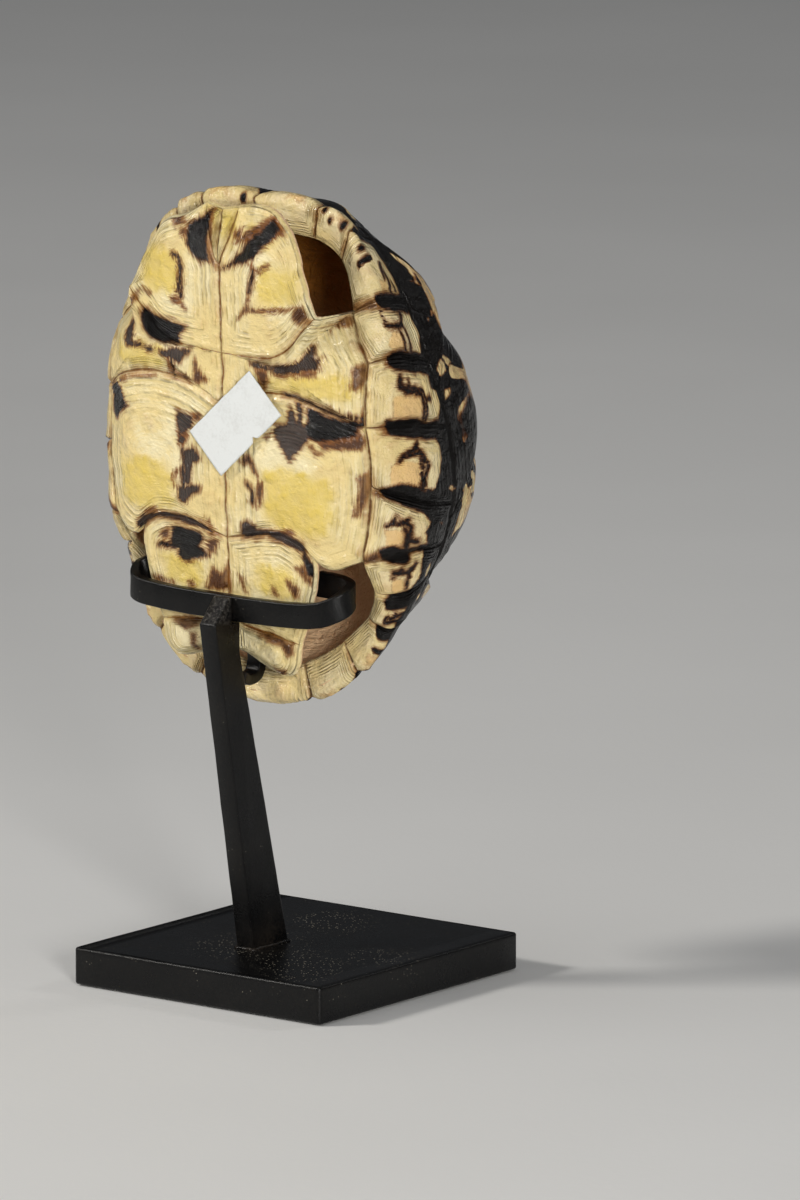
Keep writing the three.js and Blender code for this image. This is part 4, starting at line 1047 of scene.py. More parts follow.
def patch_field(points, outlines, closed=True, widen=0.0):
    """Signed distance to the nearest of several outlines, in millimetres and clipped."""
    best = np.full(len(points), -MARK_CLIP)
    for outline in outlines:
        low = np.min(outline, axis=0) - MARK_CLIP
        high = np.max(outline, axis=0) + MARK_CLIP
        near = np.flatnonzero(((points > low) & (points < high)).all(axis=1))
        if len(near):
            found = outline_distance(points[near], outline, closed) + widen
            best[near] = np.maximum(best[near], found)
    return np.clip(best, -MARK_CLIP, MARK_CLIP)


MARKS = read_marks()


def belly_marks(space):
    points = space[:, :2] + 0.3 * waver(space, 2.1, 13, 70, 2)
    black = patch_field(points, MARKS["black"])
    grey = patch_field(points, MARKS["grey"])
    lines = patch_field(points, MARKS["line"], False, LINE_HALF_WIDTH)
    honey = np.full(len(points), -9.0)
    for x, v, half_x, half_v in HONEY_PATCHES:
        across, along = (points[:, 0] - x) / half_x, (points[:, 1] - v) / half_v
        over = (across**4 + along**4) ** 0.25
        honey = np.maximum(honey, (1 - over) * min(half_x, half_v))
    return {
        "dark": np.maximum(np.maximum(black, grey), lines),
        "grey": grey,
        "stain": patch_field(points, MARKS["brown"]),
        "honey": honey,
    }


def dome_chart(flat, space):
    """Bearing, reach and the same two in millimetres with a small wobble."""
    bearing = np.degrees(np.arctan2(flat[:, 0], flat[:, 1]))
    reach = np.hypot(flat[:, 0], flat[:, 1])
    points = np.stack([np.abs(bearing) * BEARING_MM, reach * REACH_MM], -1)
    return bearing, reach, points + 0.3 * waver(space, 1.6, 13, 76, 2)


def plain_marginal_marks(scute, bearing, reach):
    """Seam bands and a bracket round the growth centre, for marginals out of the traced run."""
    turned = np.abs(bearing)
    if scute["name"] == "supracaudal":
        here, there = MARGINAL_SEAMS[LAST], (198, 198, 198, BAND_END)
        turned = np.where(bearing < 0, 360 + bearing, bearing)
    else:
        number = int(scute["name"].split("marginal")[1])
        here, there = MARGINAL_SEAMS[number - 1], MARGINAL_SEAMS[number]

    def seam_at(seam):
        top, rim, end, stop = seam
        return np.interp(reach, [marginal_top(top), 1, stop], [top, rim, end])

    start, wide = seam_at(here), np.maximum(seam_at(there) - seam_at(here), 1)
    share = (turned - start) / wide
    across = np.radians(wide) * plan_radius(bearing)
    ends = 1 - smooth(20, 30, turned) + smooth(130, 142, turned)
    facet = np.interp(turned, *FACET) - PLAIN_ENDS * ends
    fade = 1 - smooth(facet - 0.05, facet + 0.02, reach)
    band = np.maximum(3.2 * fade - share * across, 1.4 * fade - (1 - share) * across) - 0.2
    side = np.abs(share - MARGINAL_HUB["along"]) * across - 0.19 * across
    depth = np.abs(reach - hub_reach(turned)) * REACH_MM - 3.0
    box = np.maximum(side, depth)
    arch = (share < MARGINAL_HUB["along"]) | (reach < hub_reach(turned) - 0.02)
    line = np.where(arch, 2 * LINE_HALF_WIDTH - np.abs(box - 0.6), -MARK_CLIP)
    line = line - 4 * ends * smooth(facet - 0.04, facet + 0.02, reach)
    return np.maximum(band, line), -box


def marginal_marks(scute, flat, space):
    bearing, reach, points = dome_chart(flat, space)
    turned = np.abs(bearing)
    plain, plain_honey = plain_marginal_marks(scute, bearing, reach)
    blacks = patch_field(points, MARKS["seam"], widen=0.5)
    strokes = patch_field(points, MARKS["stroke"], False, 1.3 * LINE_HALF_WIDTH)
    traced = (turned > TRACED[0]) & (turned < TRACED[1])
    dark = np.where(traced, np.maximum(blacks, strokes), plain)
    traced_honey = 4 * patch_field(points, MARKS["centre"])
    honey = np.where(traced, traced_honey, plain_honey - 1.6)
    scallop = np.interp(points[:, 0] / BEARING_MM, *MARKS["scallop"].T) * REACH_MM
    upper = scallop - points[:, 1]
    dark = np.maximum(dark, upper)
    for at, spot_reach, size in SPOTS:
        apart = np.radians(bearing - at) * plan_radius(bearing)
        dark = np.maximum(dark, 0.6 * size - np.hypot(1.4 * apart, 0.45 * (reach - spot_reach) * REACH_MM))
    dark = np.minimum(dark, -1.5 * patch_field(points, MARKS["fleck"]))
    dark = np.clip(dark, -MARK_CLIP, MARK_CLIP)
    brown = patch_field(points, MARKS["end"])
    rim = 0.5 * np.exp(-(((reach - 1) * REACH_MM / RIM_REACH) ** 2))
    grey = 0.3 * upper.clip(-8, 3)
    return {"dark": dark, "grey": grey, "stain": brown, "honey": honey, "rim": rim}


def dome_marks(number, flat, space, rho, turn):
    """Cream growth centre with dark spots, ringed in black that pale rays break."""
    _, reach, points = dome_chart(flat, space)
    circle = np.stack([np.cos(turn), np.sin(turn), np.full(len(turn), 0.4 * number)], -1)
    rays = value_noise(circle * 4.2, 61)
    broad = value_noise(circle * 1.7 + 9 * rho, 62)
    fine = value_noise(np.stack([circle[:, 0] * 3 * rho, circle[:, 1] * 3 * rho, circle[:, 2]], -1), 63)
    low = smooth(0.52, 0.66, reach)
    ray_share = smooth(0.2, 0.6, rho) * (1 - low * smooth(0.62, 0.85, rho))
    outer = 9 * (rho - 0.34 + 0.1 * broad) - 12 * np.maximum(rays - 0.1, 0) * ray_share
    dark = np.maximum(outer, 3.5 * (fine - 0.42))
    dark = np.minimum(dark, -1.5 * patch_field(points, MARKS["fleck"]))
    dark = np.clip(dark, -MARK_CLIP, MARK_CLIP)
    return {"dark": dark, "grey": dark - 1.2, "stain": dark - 0.2, "honey": 4 - 10 * rho + 3 * broad}


def markings(scute, number, flat, space, rho, turn):
    """The colour fields of a ring of the scute's points."""
    if scute["kind"] == "belly":
        return {"dome": 0.0, **belly_marks(space)}
    if scute["kind"] == "marginal":
        return {"dome": 0.5, **marginal_marks(scute, flat, space)}
    return {"dome": 1.0, **dome_marks(number, flat, space, rho, turn)}


def walk_round(border, **columns):
    """Where each border sample lies on the loop, the loop's length, and a reader of columns round it."""
    steps = np.linalg.norm(np.diff(np.vstack([border, border[:1]]), axis=0), axis=1)
    along = np.append(0, np.cumsum(steps))
    perimeter, along = along[-1], along / along[-1]
    tables = {name: np.vstack([rows, rows[:1]]) for name, rows in columns.items()}

    def around(name, t):
        table = tables[name]
        return np.stack([np.interp(t, along, table[:, k]) for k in range(table.shape[1])], -1)

    return along[:-1], perimeter, around


def build_scute(net, scute, number, skin, lining, lips):
    kind, chart = scute["kind"], scute["chart"]
    keys, flats, border, free = loop_of(net, scute)
    centre = to_flat(chart, np.array(scute["centre"], float))
    middle = to_space(chart, centre[None])[0]
    misses = border - to_space(chart, flats)
    reach = np.linalg.norm(border - middle, axis=1)
    at, perimeter, around = walk_round(
        border, flat=flats, miss=misses, reach=reach[:, None], free=free[:, None].astype(float)
    )
    seed = float(number)
    rings = []
    for rho, count in zip(*ring_counts(kind, perimeter, len(keys))):
        last = rho == 1
        t = at if last else np.arange(count) / count
        flat = centre + (around("flat", t) - centre) * rho
        space = border if last else to_space(chart, flat) + around("miss", t) * rho**3
        gap = (1 - rho) * around("reach", t)[:, 0]
        edge = around("free", t)[:, 0]
        turn = t * 2 * math.pi
        ray = np.stack([np.cos(turn), np.sin(turn), np.full(len(t), rho)], -1)
        relief = relief_of(kind, rho, gap, space)
        near_edge = edge * np.exp(-((gap / FREE_EDGE["reach"]) ** 2))
        relief = relief + near_edge * (seam_valley(gap) - FREE_EDGE["lower"])
        values = {"relief": relief, "rho": rho, "seed": seed, "gap": gap + FREE_EDGE["gap"] * edge}
        values.update(markings(scute, number, flat, space, rho, turn))
        if last:
            rings.append((skin.add_keyed(keys, space, ray, **values), t))
        else:
            rings.append((skin.add(space, ray, **values), t))
    gap = np.array([reach.mean()])
    values = {"relief": relief_of(kind, 0.0, gap, middle[None]), "rho": 0.0, "seed": seed, "gap": gap}
    values.update(markings(scute, number, centre[None], middle[None], 0.0, np.zeros(1)))
    hub = (skin.add(middle[None], np.zeros((1, 3)), **values), [0.0])

    after = np.roll(border, -1, axis=0)
    facing = np.cross(border - middle, after - middle) @ (middle - SHELL_HEART)
    flip = float(facing.sum()) < 0
    for inner, outer in zip([hub, *rings], rings):
        stitch(skin.faces, inner, outer, flip)
    add_lining(keys, free, hub, rings, flip, lining)
    rim = rings[-1][0]
    for j in np.flatnonzero(free):
        pair = (rim[j], rim[(j + 1) % len(rim)])
        lips.append((*(pair[::-1] if flip else pair), unit(border[j] - middle)))


def add_lining(keys, free, hub, rings, flip, lining):
    """The scute's inner side, with every sample along a free edge and every third along a seam."""
    kept = []
    for j, key in enumerate(keys):
        corner = "/" not in key
        if corner or free[j] or free[j - 1] or int(key.rsplit("/", 1)[1]) % LINING_EVERY == 0:
            kept.append(j)
    picked = [rings[len(rings) * k // 3] for k in (1, 2)]
    lined = [(indices[::LINING_EVERY], at[::LINING_EVERY]) for indices, at in picked]
    rim, rim_at = rings[-1]
    lined.append((rim[kept], rim_at[kept]))
    for inner, outer in zip([hub, *lined], lined):
        stitch(lining, inner, outer, not flip)


def vertex_normals(points, faces):
    corners = points[faces]
    cross = np.cross(corners[:, 1] - corners[:, 0], corners[:, 2] - corners[:, 0])
    normals = np.zeros_like(points)
    for k in range(3):
        np.add.at(normals, faces[:, k], cross)
    return unit(normals)


def even_rim(normals, lips):
    """Evens out the normals along the free edges, so that the lips run smoothly."""
    pairs = np.array([(a, b) for a, b, _ in lips])
    rim = np.unique(pairs)
    for _ in range(RIM_PASSES):
        total = normals.copy()
        np.add.at(total, pairs[:, 0], normals[pairs[:, 1]])
        np.add.at(total, pairs[:, 1], normals[pairs[:, 0]])
        normals[rim] = unit(total[rim])
    return normals


def soften_rim(points, faces, share):
    """Draws points near the rim's sharp turn towards their neighbours, so that it runs evenly."""
    edges = np.concatenate([faces[:, [0, 1]], faces[:, [1, 2]], faces[:, [2, 0]]])
    edges = edges[share[edges].max(axis=1) > 0.02]
    weight = np.bincount(edges[:, 0], minlength=len(points))
    share = np.where(weight > 0, share, 0)[:, None]
    for _ in range(RIM_PASSES):
        total = np.zeros_like(points)
        np.add.at(total, edges[:, 0], points[edges[:, 1]])
        mean = total / np.maximum(weight, 1)[:, None]
        points = points + (mean - points) * share
    return points


def add_lips(lips, outside, inside, normals, faces):
    """Joins the two sides by a rounded bone lip along each free edge; returns the lips' points."""
    count = len(outside)
    bulges = {}
    for a, b, away in lips:
        for i in (a, b):
            bulges.setdefault(i, []).append(away)
    rows, chains = [], {}
    for i, aways in bulges.items():
        away = np.mean(aways, axis=0)
        away = unit(away - normals[i] * (away @ normals[i]))
        first = 2 * count + len(rows)
        chains[i] = [i, *range(first, first + len(LIP_STEPS)), i + count]
        for t in LIP_STEPS:
            between = outside[i] * (1 - t) + inside[i] * t
            rows.append(between + away * LIP_BULGE * math.sin(math.pi * t))
    for a, b, _ in lips:
        for k in range(len(LIP_STEPS) + 1):
            top_a, low_a = chains[a][k : k + 2]
            top_b, low_b = chains[b][k : k + 2]
            faces += [(top_b, top_a, low_a), (top_b, low_a, low_b)]
    return np.array(rows)


def build_shell():
    """The shell's points, faces, rays and fields; points are the outer side, the lining, the lips."""
    net = shell_network()
    skin = Skin()
    lining, lips = [], []
    for number, scute in enumerate(net.scutes):
        build_scute(net, scute, number, skin, lining, lips)
    space, ray, fields = skin.arrays()
    normals = even_rim(vertex_normals(space, np.array(skin.faces)), lips)
    outside = space + normals * fields["relief"][:, None]
    outside = soften_rim(outside, np.array(skin.faces), fields["rim"])
    inside = space - normals * (WALL - 0.25 * value_noise(space / 9, 40)[:, None])
    faces = skin.faces + [tuple(i + skin.count for i in face) for face in lining]
    points = np.concatenate([outside, inside, add_lips(lips, outside, inside, normals, faces)])
    return points, faces, ray, fields


# ---- materials ---------------------------------------------------------------------------------------
class Value:
    """An output of a material's node graph; sums and products of values add math nodes."""

    def __init__(self, graph, socket):
        self.graph = graph
        self.socket = socket

    def __add__(self, other):
        return self.graph.math("ADD", self, other)

    def __mul__(self, other):
        return self.graph.math("MULTIPLY", self, other)

    def __sub__(self, other):
        return self.graph.math("SUBTRACT", self, other)

    def __rsub__(self, other):
        return self.graph.math("SUBTRACT", other, self)


class Graph:
    """A material's node graph, with short helpers for the nodes used here."""

    def __init__(self, name):
        self.material = bpy.data.materials.new(name)
        self.material.use_nodes = True
        self.nodes = self.material.node_tree.nodes
        self.links = self.material.node_tree.links
        self.shader = self.nodes["Principled BSDF"]
        metres = self.make("TexCoord", "Object", {})
        self.place = self.make("VectorMath", 0, {0: metres, "Scale": 1 / MM}, operation="SCALE")

    def put(self, socket, value):
        if isinstance(value, Value):
            self.links.new(value.socket, socket)
        elif socket.type == "RGBA":
            socket.default_value = (*value, 1)
        else:
            socket.default_value = value

    def make(self, kind, output, inputs, **settings):
        """An output of a new node with these settings and inputs."""
        node = self.nodes.new(f"ShaderNode{kind}")
        for name, value in settings.items():
            setattr(node, name, value)
        for name, value in inputs.items():
            self.put(node.inputs[name], value)
        return Value(self, node.outputs[output])

    def field(self, name, output="Fac"):
        return self.make("Attribute", output, {}, attribute_name=name)

    def math(self, operation, a, b=0.0):
        return self.make("Math", 0, {0: a, 1: b}, operation=operation)

    def step(self, start, end, value):
        """0 before start, 1 past end, smooth between; start may be the larger."""
        inputs = {"Value": value, "From Min": start, "From Max": end}
        return self.make("MapRange", "Result", inputs, interpolation_type="SMOOTHSTEP")

    def noise(self, vector, size, detail, rough=0.5):
        inputs = {"Vector": vector, "Scale": 1 / size, "Detail": detail, "Roughness": rough}
        return (self.make("TexNoise", "Fac", inputs) - 0.5) * NOISE_SPREAD

    def lumps(self, size, detail=2.0, rough=0.5, stretch=(1, 1, 1)):
        """Noise with lumps of the given size in millimetres, from about -1 to 1."""
        stretched = self.make("Mapping", "Vector", {"Vector": self.place, "Scale": stretch})
        return self.noise(stretched, size, detail, rough)

    def streaks(self, around, outward):
        """Noise in a scute's own round-and-outward directions, from about -1 to 1."""
        ray = self.field("ray", "Vector")
        x, y, z = (self.make("SeparateXYZ", axis, {0: ray}) for axis in "XYZ")
        depth = z * outward + self.field("seed") * SEED_APART
        return self.noise(self.make("CombineXYZ", 0, {0: x * around, 1: y * around, 2: depth}), 1.0, 2.0)

    def specks(self, size, share):
        """Small dots about a grid of the given size; share is a dot's size against its cell."""
        distance = self.make("TexVoronoi", "Distance", {"Vector": self.place, "Scale": 1 / size})
        return self.step(share, share * 0.7, distance)

    def mix(self, below, above, share):
        inputs = {"Factor": share, "A": below, "B": above}
        return self.make("Mix", "Result", inputs, data_type="RGBA")

    def rings(self, rho, count, bend):
        """Sine bands round a scute's centre, from -1 to 1; bend shifts them."""
        return self.math("SINE", (rho + bend) * (2 * math.pi * count))

    def bump(self, height, distance):
        return self.make("Bump", "Normal", {"Height": height, "Distance": distance * MM})

    def finish(self, colour, roughness, normal, **more):
        inputs = {"Base Color": colour, "Roughness": roughness, "Normal": normal, **more}
        for name, value in inputs.items():
            self.put(self.shader.inputs[name.replace("_", " ")], value)
        return self.material


def horn_base(g, noise):
    """Cream to ivory horn with brown mottles and honey growth centres."""
    honey, dome = g.field("honey"), g.field("dome")
    pale = noise.wide + noise.middle * 0.45 + noise.streak * 0.35
    horn = g.mix(CREAM, IVORY, g.step(-0.45, 0.6, pale))
    horn = g.mix(horn, SEAM_TINT, g.step(0.1, 0.9, noise.middle - noise.wide * 0.6) * 0.3)
    near = honey + noise.middle * 1.7 + noise.small * 0.7 + noise.streak * 0.8
    yellow = g.mix(HONEY, AMBER, g.step(0.05, 0.4, dome))
    horn = g.mix(horn, yellow, g.step(-1.7, 1.5, near) * (noise.middle * 0.3 + 0.76))
    outline = g.step(-1.3, -0.2, near) * g.step(1.3, 0.2, near) * dome
    horn = g.mix(horn, RUST, outline * g.step(-0.4, 0.4, noise.small + noise.middle) * 1.1)
    return g.mix(horn, PEACH, g.step(-0.6, 0.7, noise.middle) * dome * 0.9)


def grown_horn(g, horn, rho, noise):
    """The horn with its growth lines and freckles; also its fine rings and the lines' height."""
    outer = g.step(0.4, 0.7, rho)
    clear = outer * g.step(-0.5, 0.6, noise.wide + noise.middle)
    uneven = noise.middle + noise.streak
    fine = g.rings(rho, FINE_RINGS, noise.middle * 0.007)
    coarse = g.rings(rho, COARSE_RINGS, noise.middle * 0.014)
    broad = g.step(0.1, 0.9, g.rings(rho, BROAD_RINGS, noise.middle * 0.02))
    broad = broad * g.step(-0.6, 0.3, noise.wide + noise.middle)
    horn = g.mix(horn, STRAW, g.step(0.35, 1, fine) * clear * 0.38)
    horn = g.mix(horn, RUST, g.step(0.86, 1.0, coarse) * g.step(-0.2, 0.5, uneven) * outer * 0.25)
    horn = g.mix(horn, STRAW, g.step(0.0, 1.0, coarse) * g.step(-0.1, 0.8, uneven) * outer * 0.75)
    horn = g.mix(horn, STRAW, broad * outer * 0.42)
    freckles = g.step(0.5, 1.0, noise.small + noise.fine * 0.4 + noise.wide * 0.3)
    horn = g.mix(horn, FRECKLE, freckles * 0.5)
    return horn, fine, (fine * 0.2 + coarse - broad * 1.2) * clear


def marked_horn(g, horn, fine_rings, noise):
    """The horn with its stains and black marks, ragged along the growth lines; also the marks' share."""
    dark, grey, stain, dome = (g.field(name) for name in ("dark", "grey", "stain", "dome"))
    ragged = noise.streak * 0.75 + noise.small * 0.28 + noise.fine * 0.14
    ragged = ragged * (1.0 - dome * 0.6)
    stained = stain + ragged * 1.3 + noise.middle * 0.25
    horn = g.mix(horn, RUST, g.step(-1.1, 0.35, stained) * 0.9)
    horn = g.mix(horn, UMBER, g.step(0.0, 0.9, stained) * 0.9)
    marked = dark * (dome + 1.0) + ragged * 0.9
    spread = marked + noise.streak * 0.6 + noise.middle * 0.35
    horn = g.mix(horn, RUST, g.step(-1.55, -0.1, spread) * 0.8)
    horn = g.mix(horn, UMBER, g.step(-0.5, 0.3, marked))
    horn = g.mix(horn, BLACK_HORN, g.step(0.0, 0.75, marked))
    worn = g.step(-0.3, 0.5, grey + noise.small) * g.step(-0.1, 0.6, marked) * g.step(0.45, 0.0, dome)
    ridged = g.step(-0.5, 0.9, fine_rings * 0.3 + noise.streak)
    horn = g.mix(horn, GREY_HORN, worn * (ridged * 0.5 + 0.4))
    return horn, g.step(-0.3, 0.3, marked)


def seamed_horn(g, horn, black, noise):
    """The horn with tinted borders and brown seams, which are lost in the black marks."""
    gap, dome = g.field("gap"), g.field("dome")
    near = g.step(2.8, 0.2, gap + noise.streak * 0.6) * g.step(-0.4, 0.7, noise.middle + noise.wide)
    horn = g.mix(horn, SEAM_TINT, near * (1.0 - black) * 0.65)
    line = g.mix(SEAM_BROWN, RUST, g.step(-0.4, 0.6, noise.middle))
    line = g.mix(line, UMBER, g.step(0.2, 0.8, dome))
    seam = g.step(0.5, 0.1, gap + noise.small * 0.14) * g.step(-1.0, 0.4, noise.middle + 0.3)
    return g.mix(horn, line, seam * (1.0 - black))


def shell_material():
    g = Graph("shell_horn")
    noise = Noise(
        wide=g.lumps(13),
        middle=g.lumps(3.2, 3),
        small=g.lumps(0.9, 3, 0.6),
        fine=g.lumps(0.33, 2, 0.6),
        streak=g.streaks(3.2, 46.0),
    )
    bone = g.field("bone")
    horn, rings, ring_height = grown_horn(g, horn_base(g, noise), g.field("rho"), noise)
    horn, black = marked_horn(g, horn, rings, noise)
    horn = seamed_horn(g, horn, black, noise)
    bare = g.mix(BONE, OLD_BONE, g.step(0.0, 1.1, noise.middle + noise.small * 0.7))
    # Painted shade: the lining darkens to a warm brown towards the head end, where the honey field rises.
    bare = g.mix(bare, SHADED_BONE, g.step(0.0, 1.0, g.field("honey")))
    colour = g.mix(horn, bare, g.step(0.35, 0.65, bone))
    grooved = black * g.step(0.5, 0.0, g.field("dome"))
    roughness = noise.wide * 0.05 + noise.small * 0.05 + bone * 0.32 + 0.16
    height = ring_height * 0.5 + noise.streak * 0.25 + noise.fine * 0.1 + noise.small * 0.3
    height = height + noise.middle * 1.5 + grooved * (noise.streak * 0.8 + rings * 0.35)
    shine = grooved * 0.22 - black * 0.32 - bone * 0.3 + 0.5
    return g.finish(colour, roughness, g.bump(height, 0.34), Specular_IOR_Level=shine)


def steel_material(name, dusty):
    """Satin black paint with dust, faint streaks, burnt welds and a scuff; dusty scales the dust."""
    g = Graph(name)
    wide, small, grain = g.lumps(9, 3), g.lumps(0.8, 3, 0.6), g.lumps(0.16, 2, 0.7)
    colour = g.mix(PAINT, WARM_PAINT, g.step(-0.3, 0.9, wide + small))
    dust = g.specks(1.6, 0.10) * g.step(0.0, 0.5, wide)
    dust = dust + g.specks(1.1, 0.2) * g.step(0.1, 0.5, g.field("dust"))
    colour = g.mix(colour, DUST, dust * (0.8 * dusty))
    streak = g.step(0.75, 1.05, g.lumps(0.5, 1, 0.5, (0.06, 1, 1)))
    colour = g.mix(colour, RUBBED_PAINT, streak * 0.3)
    burnt = g.field("weld") * g.step(-0.6, 0.5, small + wide)
    colour = g.mix(colour, BURNT_PAINT, burnt * 0.5)
    scuff = g.field("scuff") * g.step(-0.1, 0.7, grain + small)
    colour = g.mix(colour, SCUFFED_PAINT, scuff * 0.7)
    roughness = wide * 0.07 + small * 0.06 + 0.31
    height = g.bump(grain * 0.5 + small * 0.5, 0.03)
    return g.finish(colour, roughness, height, Specular_IOR_Level=0.22)


def paper_material():
    g = Graph("label_paper")
    wide, small, fibre = g.lumps(7, 2), g.lumps(0.9, 3), g.lumps(0.22, 2, 0.7, (1, 1, 0.3))
    colour = g.mix(PAPER, GREY_PAPER, g.step(-0.2, 0.9, wide + small))
    colour = g.mix(colour, STAINED_PAPER, g.step(0.85, 1.2, small) * 0.3)
    return g.finish(colour, small * 0.06 + 0.72, g.bump(fibre + small * 0.6, 0.03))


def floor_material():
    g = Graph("studio_floor")
    colour = g.mix(FLOOR_SHADE, FLOOR_LIGHT, g.step(-1, 1, g.lumps(160, 2)))
    return g.finish(colour, 0.6, g.bump(g.lumps(3, 2), 0.02))


# ---- pieces ----------------------------------------------------------------------------------------------
def piece(name, points, faces, material, node, fields=None):
    """One visible object from points in millimetres, riding on the frame in place of a CAD node."""
    mesh = bpy.data.meshes.new(name)
    points = np.asarray(points, float) * MM
    mesh.from_pydata(points.tolist(), [], [tuple(int(i) for i in face) for face in faces])
    mesh.validate()
    mesh.polygons.foreach_set("use_smooth", [True] * len(mesh.polygons))
    for field, values in (fields or {}).items():
        values = np.asarray(values, np.float32)
        kind, slot_name = ("FLOAT", "value") if values.ndim == 1 else ("FLOAT_VECTOR", "vector")
        attribute = mesh.attributes.new(field, kind, "POINT")
        attribute.data.foreach_set(slot_name, values.ravel())
    mesh.materials.append(material)
    thing = bpy.data.objects.new(name, mesh)
    bpy.context.scene.collection.objects.link(thing)
    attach(thing, "root")
    if node:
        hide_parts(node)
    return thing


def inner_field(name, lining, lips):
    """A field's values on the lining's points and on the given number of lip points."""
    if name == "bone":
        return np.ones(len(lining)), np.tile(LIP_BONE, lips // len(LIP_BONE))
    # On the lining the honey field holds painted shade, from none at the tail end to full towards the head.
    head_shade = smooth(*INSIDE_SHADE_SPAN, lining[:, 1]) if name == "honey" else np.zeros(len(lining))
    return head_shade, np.full(lips, LIP_FIELDS.get(name, LIP_OTHERWISE))


def make_shell(material):
    points, faces, ray, fields = build_shell()
    used = np.zeros(len(points), bool)
    used[np.array(faces).ravel()] = True
    number = np.cumsum(used) - 1
    faces = [(number[a], number[c], number[b]) for a, b, c in faces]
    count = len(ray)
    lips = len(points) - 2 * count
    shown = {"ray": np.vstack([ray, ray, np.zeros((lips, 3))])[used]}
    for name in Skin.SHOWN:
        inner = inner_field(name, points[count : 2 * count], lips)
        shown[name] = np.concatenate([fields[name], *inner])[used]
    return piece("shell_body", place(points)[used], faces, material, "shell", shown)


def catmull(line, spacing):
    """Points along a centripetal Catmull-Rom curve through the given ones."""
    line = np.asarray(line, float)
    ends = [2 * line[0] - line[1], *line, 2 * line[-1] - line[-2]]
    found = []
    for corners in zip(ends, ends[1:], ends[2:], ends[3:]):
        steps = [math.sqrt(np.linalg.norm(b - a)) for a, b in zip(corners, corners[1:])]
        knots = np.cumsum([0, *steps])
        count = max(round(np.linalg.norm(corners[2] - corners[1]) / spacing), 2)
        for t in np.linspace(knots[1], knots[2], count, endpoint=False):
            row = list(corners)
            for level in (1, 2, 3):
                shares = [(t - a) / (b - a) for a, b in zip(knots, knots[level:])]
                row = [a * (1 - share) + b * share for a, b, share in zip(row, row[1:], shares)]
            found.append(row[0])
    return np.array([*found, line[-1]])


def bar_section(wide, thick, corner, steps=4):
    """A rounded rectangle, wide along its second axis."""
    points = []
    for quarter in range(4):
        sign_x = (1, -1, -1, 1)[quarter]
        sign_y = (1, 1, -1, -1)[quarter]
        for i in range(steps + 1):
            angle = (quarter + i / steps) * math.pi / 2
            x = sign_x * (thick / 2 - corner) + corner * math.cos(angle)
            y = sign_y * (wide / 2 - corner) + corner * math.sin(angle)
            points.append((x, y))
    return np.array(points)


def bar_mesh(line, up_axis, wide, thick, corner, seed):
    """A flat bar bent along a line, with softly rounded ends and slight hand-made waver."""
    path = catmull(line, 0.7)
    along = unit(np.gradient(path, axis=0))
    side = unit(np.cross(up_axis, along))
    up = np.cross(along, side)
    shape = bar_section(wide, thick, corner)
    last = len(path) - 1
    rings = [(0, share, back) for share, back in BAR_ENDS]
    rings += [(i, 1.0, 0.0) for i in range(1, last)]
    rings += [(last, share, -back) for share, back in reversed(BAR_ENDS)]
    points = []
    for i, share, back in rings:
        across = shape * (1 - (1 - share) * np.array([1.0, thick / wide]))
        points.append(path[i] + along[i] * back + across[:, :1] * side[i] + across[:, 1:] * up[i])
    points = np.concatenate(points)
    rows = np.arange(len(points)).reshape(len(rings), len(shape))
    faces = [tuple(rows[0]), tuple(rows[-1][::-1])]
    for low, high in zip(rows, rows[1:]):
        faces += zip(low, high, np.roll(high, -1), np.roll(low, -1))
    return points + 0.07 * waver(points, 6, 11, seed), faces


def soft_box(low, high, corner, edge):
    """A block with rounded upright corners and rounded edges."""
    mesh = bmesh.new()
    bmesh.ops.create_cube(mesh, size=1)
    low, high = np.array(low, float), np.array(high, float)
    for vertex in mesh.verts:
        vertex.co = Vector((low + high) / 2 + np.array(vertex.co) * (high - low))
    upright = [e for e in mesh.edges if abs(e.verts[0].co.z - e.verts[1].co.z) > 1]
    bmesh.ops.bevel(mesh, geom=upright, offset=corner, segments=4, profile=0.5, affect="EDGES")
    ends = [e for e in mesh.edges if len(e.link_faces) == 2 and e.calc_face_angle(0) > 1.0]
    bmesh.ops.bevel(mesh, geom=ends, offset=edge, segments=3, profile=0.5, affect="EDGES")
    return mesh


def drain(mesh):
    """A bmesh's points and faces; the bmesh is freed."""
    mesh.verts.ensure_lookup_table()
    mesh.verts.index_update()
    points = np.array([vertex.co for vertex in mesh.verts])
    faces = [tuple(vertex.index for vertex in face.verts) for face in mesh.faces]
    mesh.free()
    return points, faces


def weld_field(points, spots):
    """1 at a weld, fading to 0 over its spread."""
    field = np.zeros(len(points))
    for x, y, z, spread in spots:
        field = np.maximum(field, np.exp(-((np.linalg.norm(points - (x, y, z), axis=1) / spread) ** 2)))
    return field


def make_plate(material):
    """The base plate: soft edges, a slightly uneven top and small dents, deeper near its edges."""
    half = np.array([PLATE["wide"] / 2, PLATE["deep"] / 2])
    mesh = soft_box((*-half, 0), (*half, PLATE["thick"]), PLATE["corner"], PLATE["edge"])
    top = [f for f in mesh.faces if abs(f.normal.z) > 0.9 and f.calc_center_median().z > 1]
    bmesh.ops.inset_region(mesh, faces=top, thickness=0.5)
    bmesh.ops.triangulate(mesh, faces=[f for f in mesh.faces if len(f.verts) > 4])
    long_edges = [e for e in mesh.edges if e.calc_length() > 6]
    bmesh.ops.subdivide_edges(mesh, edges=long_edges, cuts=11, use_grid_fill=True)
    points, faces = drain(mesh)
    dip = 0.05 * value_noise(points / 14, 12)
    dents = 0.16 * np.maximum(value_noise(points / 3.1, 13) - 0.55, 0)
    near_edge = (np.abs(points[:, :2]) / half).max(axis=1) > 0.96
    points[:, 2] += np.where(points[:, 2] > 1, dip - dents * (1 + 2 * near_edge), 0)
    fields = {"weld": weld_field(points, WELDS), "dust": weld_field(points, DUSTY)}
    return piece("plate_body", points, faces, material, "base_plate", fields)


